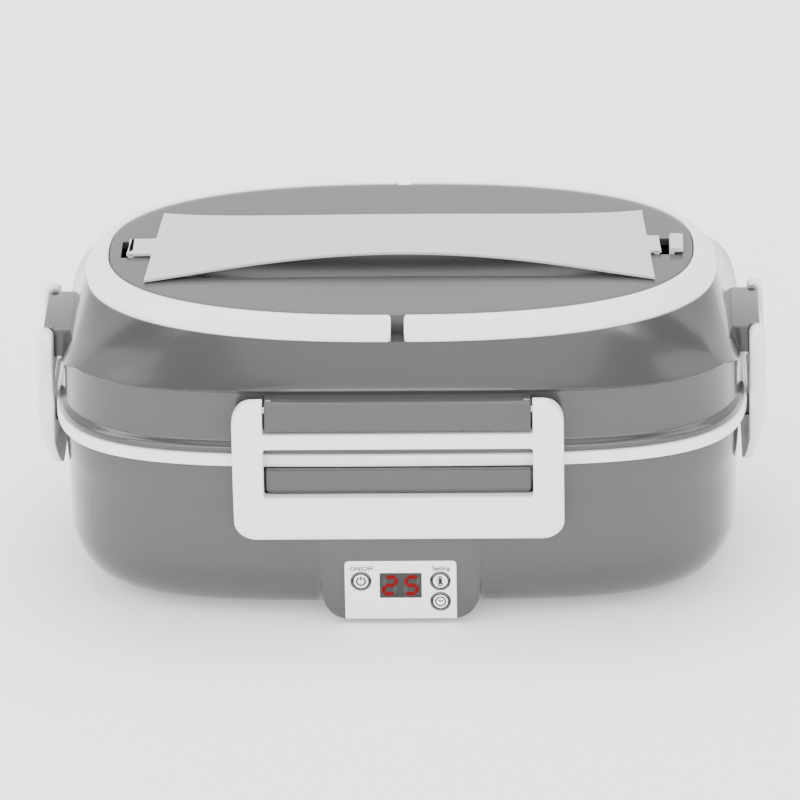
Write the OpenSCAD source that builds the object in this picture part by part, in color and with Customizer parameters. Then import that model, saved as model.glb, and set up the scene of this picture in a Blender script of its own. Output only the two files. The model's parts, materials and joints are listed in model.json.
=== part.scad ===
// Electric lunch box: a heated base, a lift-out steel pan and a lid that four
// latches hold down. Origin at the middle of the footprint, on the table; -Y is
// the front, where the controls are.

/* [Body] */
// Width of the rim band, left to right
rim_w = 229; // [215:1:245]
// Depth of the rim band, front to back
rim_d = 147; // [140:1:165]
// Squareness of the body's outline
rim_n = 4.0; // [3.4:0.1:4.6]
// Height of the base wall's top edge
base_top = 56.1; // [54:0.1:62]
// Wall of the base and lid mouldings
wall = 2.4; // [2:0.1:2.8]
// Setback of the base wall from the rim band
base_inset = 2.6; // [2.2:0.1:3.2]
// Height of the rounded lower edge of the base
sole_h = 20; // [16:1:22]
// Depth of the rounded lower edge of the base
sole_d = 16; // [12:1:18]
// Height of the visible rim band
band_h = 4.8; // [4:0.1:6]

/* [Lid] */
// Height of the lid's straight side, up to the crease
skirt_h = 21.6; // [20:0.1:24]
// Rise of the sloping shoulder, crease to trim ring
shoulder_h = 13.8; // [12:0.1:18]
// How far the crease dips towards the middle of the left and right sides
side_dip = 12; // [0:0.5:12.5]
// Rise from the trim ring's seat to the top panel's surface
crown_h = 6.2; // [5.4:0.1:7]
// Distance from the rim band in to the top panel's edge
panel_inset = 17.8; // [16:0.1:20]
// Squareness of the top panel's outline
panel_n = 2.44; // [2.3:0.01:2.8]
// Width of the trim ring
ring_w = 7.8; // [7:0.1:8.6]
// Gap between the two halves of the trim ring
ring_gap = 4.2; // [3:0.1:6]
// Thickness of the top panel
panel_t = 2.4; // [2:0.1:2.8]

/* [Handle] */
// Distance between the two ends of the strap's wide part
strap_l = 164; // [156:1:168]
// Width of the strap at its ends
strap_w = 57; // [50:1:60]
// Width of the strap in the middle
strap_waist = 32.4; // [28:0.2:40]
// Thickness of the strap
strap_t = 1.2; // [1:0.1:1.6]
// Height that the strap arches up in the middle
strap_arch = 4.2; // [2:0.1:6]
// Width of the tongue at each end of the strap
tongue_w = 12.6; // [10:0.2:15]
// How far the strap rises before its feet stop it
strap_lift = 6.5; // [5:0.1:6.6]
// Depth of the finger recess below the top panel
recess_h = 9; // [7:0.1:9.4]

/* [Latches] */
// Width of the front and rear latches
latch_long = 107.6; // [90:0.2:112]
// Width of the left and right latches
latch_short = 54; // [46:0.5:58]
// Width of a latch's arm
latch_arm = 10; // [8.5:0.1:11]
// Thickness of a latch at its arms
latch_t = 5.7; // [5.2:0.1:6.2]
// Height of a latch, bottom to top
latch_h = 51.2; // [51:0.1:51.9]
// Height of the latches at the left and right
side_latch_h = 46.8; // [46:0.1:47.5]
// Radius of the hinge pin
pin_r = 1.1; // [1:0.05:1.2]
// Running clearance of the pin in a latch's arms
pin_clear = 0.05; // [0.03:0.01:0.08]
// Overlap of a latch's lip under the catch
lip_bite = 1.5; // [1:0.1:1.7]

/* [Controls] */
// Width of the control panel
panel_w = 36.6; // [35:0.2:40]
// Height of the control panel
panel_h = 20.8; // [20:0.1:22]
// Half width of the chin that carries the control panel
chin_half = 25.5; // [24:0.5:28]
// Radius of a push button
button_r = 2.9; // [2.4:0.1:3]
// Travel of a push button
button_travel = 0.8; // [0.5:0.1:0.9]
// Width of the display window
window_w = 13.8; // [12:0.2:15]
// Height of the display window
window_h = 9; // [8:0.2:10]

/* [Pan and heater] */
// Sheet thickness of the steel pan
pan_t = 0.6; // [0.5:0.1:0.9]
// Setback of the pan's mouth from the rim band
pan_inset = 10.6; // [10.2:0.1:11]
// How much further the pan's wall stands in at its foot
pan_taper = 5; // [4.6:0.1:5.6]
// Wall of the inner tub
tub_wall = 2; // [1.6:0.1:2.2]
// Length of the heating plate
heater_l = 140; // [120:2:144]
// Depth of the heating plate, front to back
heater_d = 72; // [64:1:74]

/* [Hidden] */
points = 64;        // points round each outline
round_fn = 32;
seat = 0.2;         // face gap between pieces that seat on each other
foot_h = 1.5;
half_w = rim_w / 2;
half_d = rim_d / 2;

// Heights, from the table up
floor_top = foot_h + 2.5;
band_bottom = base_top + 0.8;
band_top = band_bottom + band_h;
pan_flange_top = band_top + pan_t;
lid_bottom = band_top + 0.3;
crease_z = lid_bottom + skirt_h;
ledge_z = crease_z + shoulder_h;
panel_top = ledge_z + crown_h;
panel_under = panel_top - panel_t;
lip_top = lid_bottom + 2.6;
deck_top = ledge_z - 8.4;
deck_under = deck_top - 2.2;
liner_top = lid_bottom + 10;
liner_t = 2;
tub_floor_under = foot_h + 10.5;
tub_floor = tub_floor_under + tub_wall;
plate_top = tub_floor + 2;
pan_under = plate_top + seat;

// Setbacks from the rim band
skirt_inset = base_inset - 0.1;
crease_inset = skirt_inset - 0.4;
lip_inset = 0.7;
pad_inset = crease_inset - 0.1;
ring_inset = panel_inset - ring_w;
crease_n = rim_n + 0.4;

// Latches, measured outward from the rim band
latch_in = 0.5;
latch_out = latch_in + latch_t;
pivot_out = latch_in + latch_t / 2 - 0.6;
pivot_z = crease_z - 4.6;
latch_top = pivot_z + 4;
bar_out = latch_out - 0.6;
bar_top = crease_z - 1.6;
bar_bottom = bar_top - 9.6;
bar_lean = 1.5;
cross_top = bar_bottom - 0.9;
cross_bottom = cross_top - 5.3;
sill_z = cross_bottom - 17.4;
catch_top = band_bottom - seat;
catch_bottom = sill_z + 0.3;
catch_out = latch_out - 4;
bar_play = 0.6;
arm_bore = 7.2;

// Control panel, from the middle of the chin
chin_out = -2;
chin_y = half_d + chin_out;
chin_r = 8;
panel_plate_t = 1.2;
plate_bottom = foot_h + 0.4;
plate_mid = plate_bottom + panel_h / 2;
button_x = 13;
button_top_z = plate_bottom + 13.6;
button_low_z = plate_bottom + 6.2;
window_z = plate_bottom + 12;
button_gap = 0.15;
button_spots = [[-button_x, button_top_z], [button_x, button_top_z], [button_x, button_low_z]];

screw_spots = [for (sx = [-1, 1], sy = [-1, 1]) [sx * half_w * 0.66, sy * half_d * 0.46]];
foot_spots = [for (sx = [-1, 1], sy = [-1, 1]) [sx * half_w * 0.49, sy * half_d * 0.5]];
lid_screw_spots = [for (sx = [-1, 1], sy = [-1, 1]) [sx * half_w * 0.52, sy * half_d * 0.41]];
screw_r = 1.3;
screw_hole = 1.4;
base_screw_l = 9;
liner_screw_l = 10;

strap_z = panel_top + seat;
slot_l = 9.3;
slot_in = strap_l / 2 + 1.4;
slot_out = slot_in + slot_l;
slot_half = tongue_w / 2 + 0.5;
foot_top = panel_under - strap_lift - seat;

body_grey = [0.56, 0.56, 0.57];
panel_grey = [0.64, 0.64, 0.64];
light_grey = [0.85, 0.85, 0.85];
steel = [0.75, 0.76, 0.78];

// ---- outlines ----

// A power of a cosine or sine that keeps its sign
function signed(v, p) = sign(v) * pow(abs(v), p);

// One closed outline of squareness n at height z, set in from the rim band
function level(inset, z, n = rim_n) = [for (i = [0:points - 1]) let (t = 360 * i / points)
    [(half_w - inset) * signed(cos(t), 2 / n), (half_d - inset) * signed(sin(t), 2 / n), z]];

// The faces between outline k and the next one, out of count outlines
function skin_faces(k, count) = [for (i = [0:points - 1])
    let (j = (i + 1) % points, a = k * points, b = ((k + 1) % count) * points)
    each [[a + i, b + i, b + j], [a + i, b + j, a + j]]];

// A closed solid between a first and a last outline, both capped
module skin(levels) {
    count = len(levels);
    polyhedron(points = [for (l = levels) each l],
        faces = concat([[for (i = [0:points - 1]) i]],
            [for (k = [0:count - 2]) each skin_faces(k, count)],
            [[for (i = [points - 1:-1:0]) (count - 1) * points + i]]));
}

// A closed hoop: the outlines run up outside and down inside
module hoop(levels) {
    count = len(levels);
    polyhedron(points = [for (l = levels) each l],
        faces = [for (k = [0:count - 1]) each skin_faces(k, count)]);
}

// Joins everything inside into one mesh
module moulded() { resize([0, 0, 0]) children(); }

// Stands a flat shape up: its x stays, its y becomes z, and it runs t towards +Y
module upright(t) { translate([0, t, 0]) rotate([90, 0, 0]) linear_extrude(t) children(); }

// Puts a piece that is drawn for the front at each of the four sides
module at_rear() { rotate([0, 0, 180]) children(); }
module at_side(s) { rotate([0, 0, s * 90]) translate([0, half_d - half_w, 0]) children(); }

// A tube through a list of points, drawn as one solid
module tube(path, r, sides = 8) {
    count = len(path);
    rings = [for (k = [0:count - 1])
        let (d = path[min(k + 1, count - 1)] - path[max(k - 1, 0)], u = d / norm(d),
             side = cross(u, abs(u[2]) > 0.9 ? [1, 0, 0] : [0, 0, 1]), s = side / norm(side),
             w = cross(u, s))
        each [for (i = [0:sides - 1]) path[k] + r * (cos(360 * i / sides) * s + sin(360 * i / sides) * w)]];
    polyhedron(points = rings, faces = concat([[for (i = [0:sides - 1]) i]],
        [for (k = [0:count - 2], i = [0:sides - 1]) let (j = (i + 1) % sides, a = k * sides)
            each [[a + i, a + sides + i, a + sides + j], [a + i, a + sides + j, a + j]]],
        [[for (i = [sides - 1:-1:0]) (count - 1) * sides + i]]));
}

// ---- base ----

// Outside of the base, from its sole up to the wall's top edge
function base_side(extra, lift) = concat(
    [for (a = [90:-15:0]) level(base_inset + 1.1 + sole_d * (1 - cos(a)) + extra,
        foot_h + lift + (sole_h - lift) * (1 - sin(a)))],
    [level(base_inset + extra, base_top)]);

// The chin's block, smaller by inner all round; its face fades into the wall above
module chin(half, inner) {
    hull() {
        translate([-half + inner - 1, -half_d + base_inset + 0.7 + inner, foot_h + sole_h + 14])
            cube([2 * (half - inner) + 2, 4, 1]);
        for (x = [-1, 1]) translate([x * (half - chin_r), -chin_y + inner, foot_h + chin_r])
            rotate([-90, 0, 0]) cylinder(r = chin_r - inner, h = 4, $fn = round_fn);
        translate([-half + inner, -chin_y + inner, plate_bottom + panel_h])
            cube([2 * (half - inner), 4, 3 - inner]);
        translate([-half + inner - 3, -half_d + sole_d + 8, foot_h + inner])
            cube([2 * (half - inner) + 6, 4, sole_h + 4 - inner]);
    }
}

// A catch bar that a latch's lip hooks under
module catch_bar(width) {
    translate([-width / 2 + latch_arm + bar_play, 0, 0])
        rotate([90, 0, 90]) linear_extrude(width - 2 * latch_arm - 2 * bar_play)
            polygon([[-half_d - catch_out + 0.6, catch_top], [-half_d + base_inset - 0.4, catch_top],
                [-half_d + base_inset - 0.4, base_top - 0.3], [-half_d + 4, base_top - 0.3],
                [-half_d + 4, catch_bottom - 1.5], [-half_d + base_inset, catch_bottom - 1.5],
                [-half_d + 1, catch_bottom], [-half_d - catch_out, catch_bottom],
                [-half_d - catch_out, catch_top - 0.6]]);
}

module base_shell() {
    color(body_grey) moulded() difference() {
        union() {
            skin(base_side(0, 0));
            chin(chin_half, 0);
            at_rear() chin(inlet_half, 0);
            catch_bar(latch_long);
            at_rear() catch_bar(latch_long);
            for (s = [-1, 1]) at_side(s) catch_bar(latch_short);
        }
        skin(concat(base_side(wall, floor_top - foot_h), [level(base_inset + wall, base_top + 1)]));
        intersection() {
            chin(chin_half, wall);
            translate([-half_w, -half_d, floor_top]) cube([rim_w, half_d, base_top]);
        }
        intersection() {
            at_rear() chin(inlet_half, wall);
            translate([-half_w, 0, floor_top]) cube([rim_w, half_d, base_top]);
        }
        // seat of the control panel, and the openings behind it
        translate([-panel_w / 2 - 0.1, -chin_y - 1, plate_bottom - 0.1])
            cube([panel_w + 0.2, 1 + panel_plate_t - 0.2, panel_h + 0.2]);
        translate([-window_w / 2, -chin_y - 1, window_z - window_h / 2]) cube([window_w, wall + 2, window_h]);
        for (p = button_spots) translate([p[0], -chin_y - 1, p[1]])
            rotate([-90, 0, 0]) cylinder(r = button_r + 0.4, h = wall + 2, $fn = round_fn);
        // hole of the power inlet
        translate([0, chin_y - wall - 1, inlet_z]) upright(wall + 2) stadium(inlet_w + 0.2, inlet_h + 0.2);
        // screw holes
        for (p = screw_spots) translate([p[0], p[1], 0]) {
            cylinder(r = screw_hole + 0.2, h = 10, $fn = round_fn);
            cylinder(r = screw_head_r + 0.2, h = foot_h + screw_head_h, $fn = round_fn);
        }
    }
}

screw_head_r = 2.6;
screw_head_h = 1.2;

module screw(length) {
    cylinder(r = screw_head_r, h = screw_head_h);
    cylinder(r = screw_r, h = length);
}

module base_screws() {
    color(steel) for (p = screw_spots) translate([p[0], p[1], foot_h]) screw(base_screw_l);
}

module feet() {
    color([0.2, 0.2, 0.2]) for (p = foot_spots) translate([p[0], p[1], 0]) cylinder(r = 6, h = foot_h);
}

// Inside of the tub, which leaves play round the pan
tub_play = 1.7;
pan_draft = [[7, 0], [3.4, 1], [1.2, 4], [0, 9]];

function tub_side(extra, low) = [for (d = pan_draft)
    level(pan_inset + pan_taper + d[0] - tub_play + extra, low + d[1])];

module inner_tub() {
    rim_z = base_top;
    color(light_grey) moulded() difference() {
        union() {
            skin(concat(tub_side(-tub_wall, tub_floor_under),
                [level(pan_inset - tub_play - tub_wall, rim_z),
                 level(base_inset + 0.8, rim_z), level(base_inset + 0.8, band_bottom),
                 level(0.3, band_bottom), level(0, band_bottom + 0.4), level(0, band_top - 0.6),
                 level(0.4, band_top), level(pan_inset - tub_play - 0.8, band_top),
                 level(pan_inset - tub_play, band_top - 0.8)],
                [for (i = [len(pan_draft) - 1:-1:0]) tub_side(0, tub_floor)[i]]));
            for (p = screw_spots) translate([p[0], p[1], floor_top])
                cylinder(r = 3.5, h = tub_floor_under - floor_top + 0.5, $fn = round_fn);
        }
        // opening over the heater, and the screws' holes
        translate([-heater_l * 0.35 - 1, -heater_d * 0.35 - 1, tub_floor_under - 1])
            cube([heater_l * 0.7 + 2, heater_d * 0.7 + 2, tub_wall + 2]);
        for (p = screw_spots) translate([p[0], p[1], floor_top - 1])
            cylinder(r = screw_hole, h = foot_h + base_screw_l + 0.4 - floor_top + 1, $fn = round_fn);
    }
}

// ---- heater ----

ptc_l = 60;
ptc_w = 24;
ptc_h = 3.5;
boss_under = tub_floor_under - 0.6;
clamp_t = 0.8;

module heating_plate() {
    corner = 14;
    color(steel) union() {
        translate([0, 0, tub_floor]) linear_extrude(plate_top - tub_floor) {
            square([heater_l - 2 * corner, heater_d], center = true);
            square([heater_l, heater_d - 2 * corner], center = true);
            for (x = [-1, 1], y = [-1, 1])
                translate([x * (heater_l / 2 - corner), y * (heater_d / 2 - corner)]) circle(corner);
        }
        translate([-heater_l * 0.35, -heater_d * 0.35, boss_under])
            cube([heater_l * 0.7, heater_d * 0.7, tub_floor - boss_under + 0.5]);
    }
}

module ptc_heater() {
    color([0.75, 0.55, 0.3]) translate([-ptc_l / 2, -ptc_w / 2, boss_under - ptc_h]) cube([ptc_l, ptc_w, ptc_h]);
}

clamp_l = ptc_l + 20;
module heater_clamp() {
    color(steel) difference() {
        union() {
            translate([-clamp_l / 2, -6, boss_under - ptc_h - clamp_t]) cube([clamp_l, 12, clamp_t]);
            for (s = [-1, 1]) translate([s * (clamp_l / 2 - 4) - 4, -6, boss_under - ptc_h])
                cube([8, 12, ptc_h]);
        }
        for (s = [-1, 1]) translate([s * (clamp_l / 2 - 4), 0, 0]) cylinder(r = 1.1, h = boss_under);
    }
}

module clamp_screws() {
    color(steel) for (s = [-1, 1])
        translate([s * (clamp_l / 2 - 4), 0, boss_under - ptc_h - clamp_t - 0.8]) {
            cylinder(r = 2, h = 0.8);
            cylinder(r = 1, h = ptc_h + clamp_t + 0.8);
        }
}

module thermal_fuse() {
    color([0.85, 0.8, 0.7]) translate([-7, -ptc_w / 2 - 5, boss_under - 1.8])
        rotate([0, 90, 0]) cylinder(r = 1.8, h = 14);
}

module temperature_sensor() {
    color([0.2, 0.2, 0.22]) translate([10, ptc_w / 2 + 5, boss_under - 3]) cylinder(r = 2.5, h = 3);
}

// ---- controls ----

board_y = -chin_y + 6.2;
board_t = 1.6;
board_screw_x = window_w / 2 + 0.6;
module control_board() {
    color([0.1, 0.4, 0.25]) difference() {
        translate([-panel_w / 2, board_y, floor_top + 0.5]) cube([panel_w, board_t, panel_h - 3]);
        for (s = [-1, 1]) translate([s * board_screw_x, board_y - 1, floor_top + 2])
            rotate([-90, 0, 0]) cylinder(r = 1.1, h = board_t + 2);
    }
}

// Screws of the board, each with the spacer that it holds against the chin
module board_screws() {
    spacer = board_y + chin_y - wall;
    color(steel) for (s = [-1, 1]) translate([s * board_screw_x, board_y, floor_top + 2]) rotate([-90, 0, 0]) {
        translate([0, 0, -spacer]) cylinder(r = 1.9, h = spacer);
        cylinder(r = 1, h = board_t + 0.1);
        translate([0, 0, board_t]) cylinder(r = 1.9, h = 1);
    }
}

module display_module() {
    color([0.12, 0.12, 0.12]) translate([-window_w / 2 + 0.4, -chin_y + panel_plate_t, window_z - window_h / 2 + 0.4])
        cube([window_w - 0.8, board_y + chin_y - panel_plate_t, window_h - 0.8]);
}

module control_panel() {
    corner = 1.3;
    color([0.88, 0.88, 0.88]) difference() {
        translate([0, -chin_y - 0.2, 0]) upright(panel_plate_t) {
            translate([-panel_w / 2, plate_bottom]) square([panel_w, panel_h - corner]);
            translate([-panel_w / 2 + corner, plate_bottom]) square([panel_w - 2 * corner, panel_h]);
            for (s = [-1, 1]) translate([s * (panel_w / 2 - corner), plate_bottom + panel_h - corner])
                circle(corner, $fn = round_fn);
        }
        translate([-window_w / 2, -chin_y - 1, window_z - window_h / 2]) cube([window_w, 4, window_h]);
        for (p = button_spots) translate([p[0], -chin_y - 1, p[1]])
            rotate([-90, 0, 0]) cylinder(r = button_r + button_gap, h = 4);
    }
}

module display_window() {
    color([0.2, 0.16, 0.16]) translate([-window_w / 2, -chin_y - 0.1, window_z - window_h / 2])
        cube([window_w, panel_plate_t - 0.1, window_h]);
}

module button(spot) {
    color([0.88, 0.88, 0.88]) translate([spot[0], -chin_y - 0.3, spot[1]])
        rotate([-90, 0, 0]) cylinder(r = button_r, h = 1.5);
}

switch_front = -chin_y + 1.2 + button_travel + 0.05;
module button_switches() {
    color([0.15, 0.15, 0.15]) for (p = button_spots)
        translate([p[0] - 2, switch_front, p[1] - 2]) cube([4, board_y - switch_front, 4]);
}

// ---- power inlet ----

inlet_w = 22;
inlet_h = 12;
inlet_half = 19;
inlet_z = foot_h + 9.5;
inlet_deep = 9;
socket_deep = 7.3;
pin_x = 4;
pin_tail = 3;
inlet_pin_r = 1.2;

module stadium(w, h) {
    square([w - h, h], center = true);
    for (s = [-1, 1]) translate([s * (w - h) / 2, 0]) circle(h / 2, $fn = round_fn);
}

module power_inlet() {
    color([0.15, 0.15, 0.15]) difference() {
        union() {
            translate([0, chin_y - inlet_deep, inlet_z]) upright(inlet_deep) stadium(inlet_w, inlet_h);
            translate([0, chin_y, inlet_z]) upright(0.8) stadium(inlet_w + 4, inlet_h + 4);
        }
        translate([0, chin_y + 0.8 - socket_deep, inlet_z]) upright(socket_deep + 1)
            stadium(inlet_w - 4.5, inlet_h - 4.5);
        for (s = [-1, 1]) translate([s * pin_x, chin_y - inlet_deep - 1, inlet_z])
            rotate([-90, 0, 0]) cylinder(r = inlet_pin_r + 0.05, h = inlet_deep - 1);
    }
}

module inlet_pins() {
    color([0.8, 0.7, 0.4]) for (s = [-1, 1]) translate([s * pin_x, chin_y - inlet_deep - pin_tail, inlet_z])
        rotate([-90, 0, 0]) cylinder(r = inlet_pin_r, h = pin_tail + 6.5);
}

// Both kinds of lead leave and meet what they join square on
lead_r = 0.9;
lead_end = 1.4;
lead_low = floor_top + 2;
mains_leads_x = 48;

module mains_leads() {
    start_y = chin_y - inlet_deep - pin_tail;
    end_y = board_y + board_t;
    color([0.25, 0.2, 0.2]) for (s = [-1, 1])
        tube([[s * pin_x, start_y, inlet_z], [s * pin_x, start_y - lead_end, inlet_z],
            [s * (pin_x + 1), start_y - 4, inlet_z - 1.6], [s * (pin_x + 4), start_y - 8, lead_low],
            [s * (mains_leads_x - 8), start_y - 16, lead_low], [s * mains_leads_x, 0, lead_low],
            [s * (mains_leads_x - 4), -30, lead_low], [s * 30, end_y + 9, lead_low],
            [s * 14, end_y + 5, lead_low + 3], [s * 12, end_y + lead_end, lead_low + 6],
            [s * 12, end_y, lead_low + 6]], lead_r);
}

module heater_leads() {
    z = boss_under - ptc_h / 2;
    start_y = -ptc_w / 2;
    end_y = board_y + board_t;
    color([0.6, 0.2, 0.15]) for (s = [-1, 1])
        tube([[s * 8, start_y, z], [s * 8, start_y - lead_end, z], [s * 8.5, start_y - 6, z - 1],
            [s * 9, start_y - 14, z - 2], [s * 8, end_y + 7, z - 1.5], [s * 6, end_y + lead_end, z],
            [s * 6, end_y, z]], lead_r);
}

// ---- pan ----

function pan_side(extra, low) = [for (d = pan_draft) level(pan_inset + pan_taper + d[0] + extra, low + d[1])];

module food_container() {
    color(steel) skin(concat(pan_side(0, pan_under),
        [level(pan_inset, band_top - 1), level(pan_inset - 0.6, band_top), level(6.2, band_top),
         level(6.2, pan_flange_top), level(pan_inset, pan_flange_top),
         level(pan_inset + pan_t, pan_flange_top - 1)],
        [for (i = [len(pan_draft) - 1:-1:0]) pan_side(pan_t, pan_under + pan_t)[i]]));
}

// ---- lid ----

// An outline whose points are lowered by up to dip towards the left and right sides
function dipped(outline, dip) = [for (p = outline)
    [p[0], p[1], p[2] - dip * pow(max(0, 1 - pow(p[1] / (0.72 * half_d), 2)), 1.6)]];

// The shoulder: t runs from the crease (0) to the trim ring's edge (1)
function shoulder(t, extra, drop, dip = side_dip) =
    dipped(level(crease_inset + (ring_inset - crease_inset) * pow(t, 1.15) + extra,
        crease_z + shoulder_h * t - drop, crease_n + (panel_n + 0.06 - crease_n) * pow(t, 0.8)), dip * (1 - t));

shoulder_steps = 6;

function lid_outside() = concat(
    [level(lip_inset + 0.5, lid_bottom), level(lip_inset, lid_bottom + 0.5),
     level(lip_inset + 0.3, lip_top - 0.5), level(skirt_inset - 0.6, lip_top),
     level(skirt_inset, lip_top + 0.8), dipped(level(skirt_inset, crease_z - 1.8), side_dip),
     dipped(level(crease_inset + 0.1, crease_z - 0.9, (rim_n + crease_n) / 2), side_dip)],
    [for (i = [0:shoulder_steps]) shoulder(i / shoulder_steps, 0, 0)]);

ledge_inset = panel_inset + 3.4;

// The well under the top panel that holds the strap's feet, larger by grow
module well(grow, bottom, top) {
    skin([level(ledge_inset - grow, bottom, panel_n), level(ledge_inset - grow, top, panel_n)]);
}

module lid_shell() {
    color(body_grey) moulded() difference() {
        union() {
            difference() {
                skin(lid_outside());
                skin(concat([level(skirt_inset + wall, lid_bottom - 1),
                        dipped(level(skirt_inset + wall, crease_z - 2), side_dip)],
                    [for (i = [0:shoulder_steps - 1])
                        shoulder(i / shoulder_steps, wall, 1.2, i < shoulder_steps - 1 ? side_dip : 0)]));
            }
            well(wall, deck_under, ledge_z);
            for (p = lid_screw_spots) translate([p[0], p[1], liner_top])
                cylinder(r = 3.4, h = deck_top - liner_top - 1, $fn = round_fn);
            pads(latch_long);
            at_rear() pads(latch_long);
            for (s = [-1, 1]) at_side(s) pads(latch_short);
        }
        well(0, deck_top, ledge_z + 1);
        for (p = lid_screw_spots) translate([p[0], p[1], liner_top - 1])
            cylinder(r = screw_hole, h = 9, $fn = round_fn);
        peg_holes(latch_long);
        at_rear() peg_holes(latch_long);
        for (s = [-1, 1]) at_side(s) peg_holes(latch_short);
    }
}

peg_r = 1.8;
function bar_half(width) = width / 2 - latch_arm - bar_play;
function peg_x(width) = bar_half(width) - 8;

// Flat pad on the skirt that a hinge bar seats on
module pads(width) {
    translate([-bar_half(width), -half_d + pad_inset, bar_bottom])
        cube([2 * bar_half(width), 4.5, bar_top - bar_bottom]);
}

module peg_holes(width) {
    for (s = [-1, 1]) translate([s * peg_x(width), -half_d, (bar_bottom + bar_top) / 2 - 2])
        rotate([-90, 0, 0]) cylinder(r = peg_r + 0.1, h = skirt_inset + wall + 2, $fn = round_fn);
}

module hinge_bar(width) {
    half = bar_half(width);
    round_r = 0.7;
    low = [-half_d - bar_out + round_r, bar_bottom + round_r];
    high = [low[0] + bar_lean, bar_top - round_r];
    along = (high - low) / norm(high - low);
    out = round_r * [-along[1], along[0]];
    color(body_grey) difference() {
        union() {
            translate([-half, 0, 0]) rotate([90, 0, 90]) linear_extrude(2 * half) {
                polygon([[-half_d + pad_inset, bar_bottom], [-half_d + pad_inset, bar_top],
                    [high[0], bar_top], high + out, low + out, [low[0], bar_bottom]]);
                translate(high) circle(round_r, $fn = 24);
                translate(low) circle(round_r, $fn = 24);
            }
            for (s = [-1, 1]) translate([s * peg_x(width), -half_d + pad_inset - 1, (bar_bottom + bar_top) / 2 - 2])
                rotate([-90, 0, 0]) cylinder(r = peg_r, h = wall);
        }
        translate([-half - 1, -half_d - pivot_out, pivot_z]) rotate([0, 90, 0])
            cylinder(r = pin_r + 0.01, h = 2 * half + 2);
    }
}

module latch_pin(width) {
    half = width / 2 - latch_arm + arm_bore - 0.3;
    color(steel) translate([-half, -half_d - pivot_out, pivot_z]) rotate([0, 90, 0]) cylinder(r = pin_r, h = 2 * half);
}

module lid_liner() {
    liner_inset = skirt_inset + wall + 0.7;
    color([0.82, 0.82, 0.82]) moulded() difference() {
        skin([level(liner_inset + 0.4, lid_bottom + 2), level(liner_inset, lid_bottom + 2.4),
            level(liner_inset, liner_top - 2), level(liner_inset + 2, liner_top)]);
        skin([level(liner_inset + 6, lid_bottom + 1), level(liner_inset + 6, liner_top - 5),
            level(liner_inset + 9, liner_top - liner_t)]);
        for (p = lid_screw_spots) translate([p[0], p[1], 0]) cylinder(r = screw_hole + 0.1, h = liner_top + 1, $fn = round_fn);
    }
}

module lid_seal() {
    seal_in = skirt_inset + wall + 1.4;
    color([0.8, 0.8, 0.78]) hoop([level(seal_in + 0.5, pan_flange_top + seat), level(seal_in, pan_flange_top + seat + 0.5),
        level(seal_in, lid_bottom + 2), level(seal_in + 4, lid_bottom + 2),
        level(seal_in + 4, pan_flange_top + seat + 0.5), level(seal_in + 3.5, pan_flange_top + seat)]);
}

module liner_screws() {
    color(steel) for (p = lid_screw_spots) translate([p[0], p[1], liner_top - liner_t - screw_head_h]) screw(liner_screw_l);
}

// ---- top ----

module top_panel() {
    skirt_in = panel_inset + panel_t;
    color(panel_grey) moulded() difference() {
        union() {
            difference() {
                skin([level(panel_inset, ledge_z, panel_n), level(panel_inset, panel_top - 0.5, panel_n),
                    level(panel_inset + 0.4, panel_top, panel_n)]);
                skin([level(skirt_in, ledge_z - 1, panel_n), level(skirt_in, panel_under, panel_n)]);
            }
            recess(recess_wall, panel_top - recess_h - recess_wall);
        }
        recess(0, panel_top - recess_h);
        for (s = [-1, 1]) translate([s * (slot_in + slot_out) / 2 - (slot_out - slot_in) / 2, -slot_half, panel_under - 1])
            cube([slot_out - slot_in, 2 * slot_half, panel_t + 2]);
    }
}

// The finger recess under the strap, larger by grow all round
recess_wall = 1.6;
recess_half = strap_l / 2 - 8;
recess_wide = strap_w / 2 - 5.5;
module recess(grow, bottom) {
    hull() {
        translate([-recess_half - grow, -recess_wide - grow, panel_top - (grow > 0 ? 1 : 0)])
            cube([2 * (recess_half + grow), 2 * (recess_wide + grow), grow > 0 ? 0.5 : 1]);
        translate([-recess_half + 6 - grow, -recess_wide + 5 - grow, bottom])
            cube([2 * (recess_half - 6 + grow), 2 * (recess_wide - 5 + grow), 1]);
    }
}

// One half of the trim ring; s is +1 on the right
module trim_ring(s) {
    gap = 0.35;
    bulge = [for (a = [0:14:84]) [ring_w * cos(a), 0.4 + crown_h * sin(a)]];
    profile = concat([[ring_w, 0]], bulge, [[gap, crown_h], [gap, 0]]);
    color(light_grey) moulded() intersection() {
        hoop([for (p = profile) level(panel_inset - p[0], ledge_z + p[1], panel_n + 0.06 * p[0] / ring_w)]);
        translate([s > 0 ? ring_gap / 2 : -rim_w, -half_d, ledge_z - 1])
            cube([rim_w - (s > 0 ? ring_gap / 2 : 0) - (s > 0 ? 0 : ring_gap / 2), rim_d, crown_h + 3]);
    }
}

// ---- handle ----

strap_steps = 16;
function strap_x(i) = strap_l / 2 * (2 * i / strap_steps - 1);
function strap_half(x) = strap_waist / 2 + (strap_w - strap_waist) / 2 * pow(2 * x / strap_l, 2);
function strap_rise(x) = strap_arch * pow(1 - pow(2 * x / strap_l, 2), 1.5);
// The strap's front edge is a little longer than its rear edge
strap_flare = 0.023;
function strap_ring(i) = let (x = strap_x(i), h = strap_half(x), z = strap_z + strap_rise(x), e = 0.35)
    [for (p = [[-h, z + e], [-h, z + strap_t - e], [-h + e, z + strap_t], [h - e, z + strap_t],
        [h, z + strap_t - e], [h, z + e], [h - e, z], [-h + e, z]])
        [x * (1 - strap_flare * p[0] / (strap_w / 2)), p[0], p[1]]];

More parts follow.
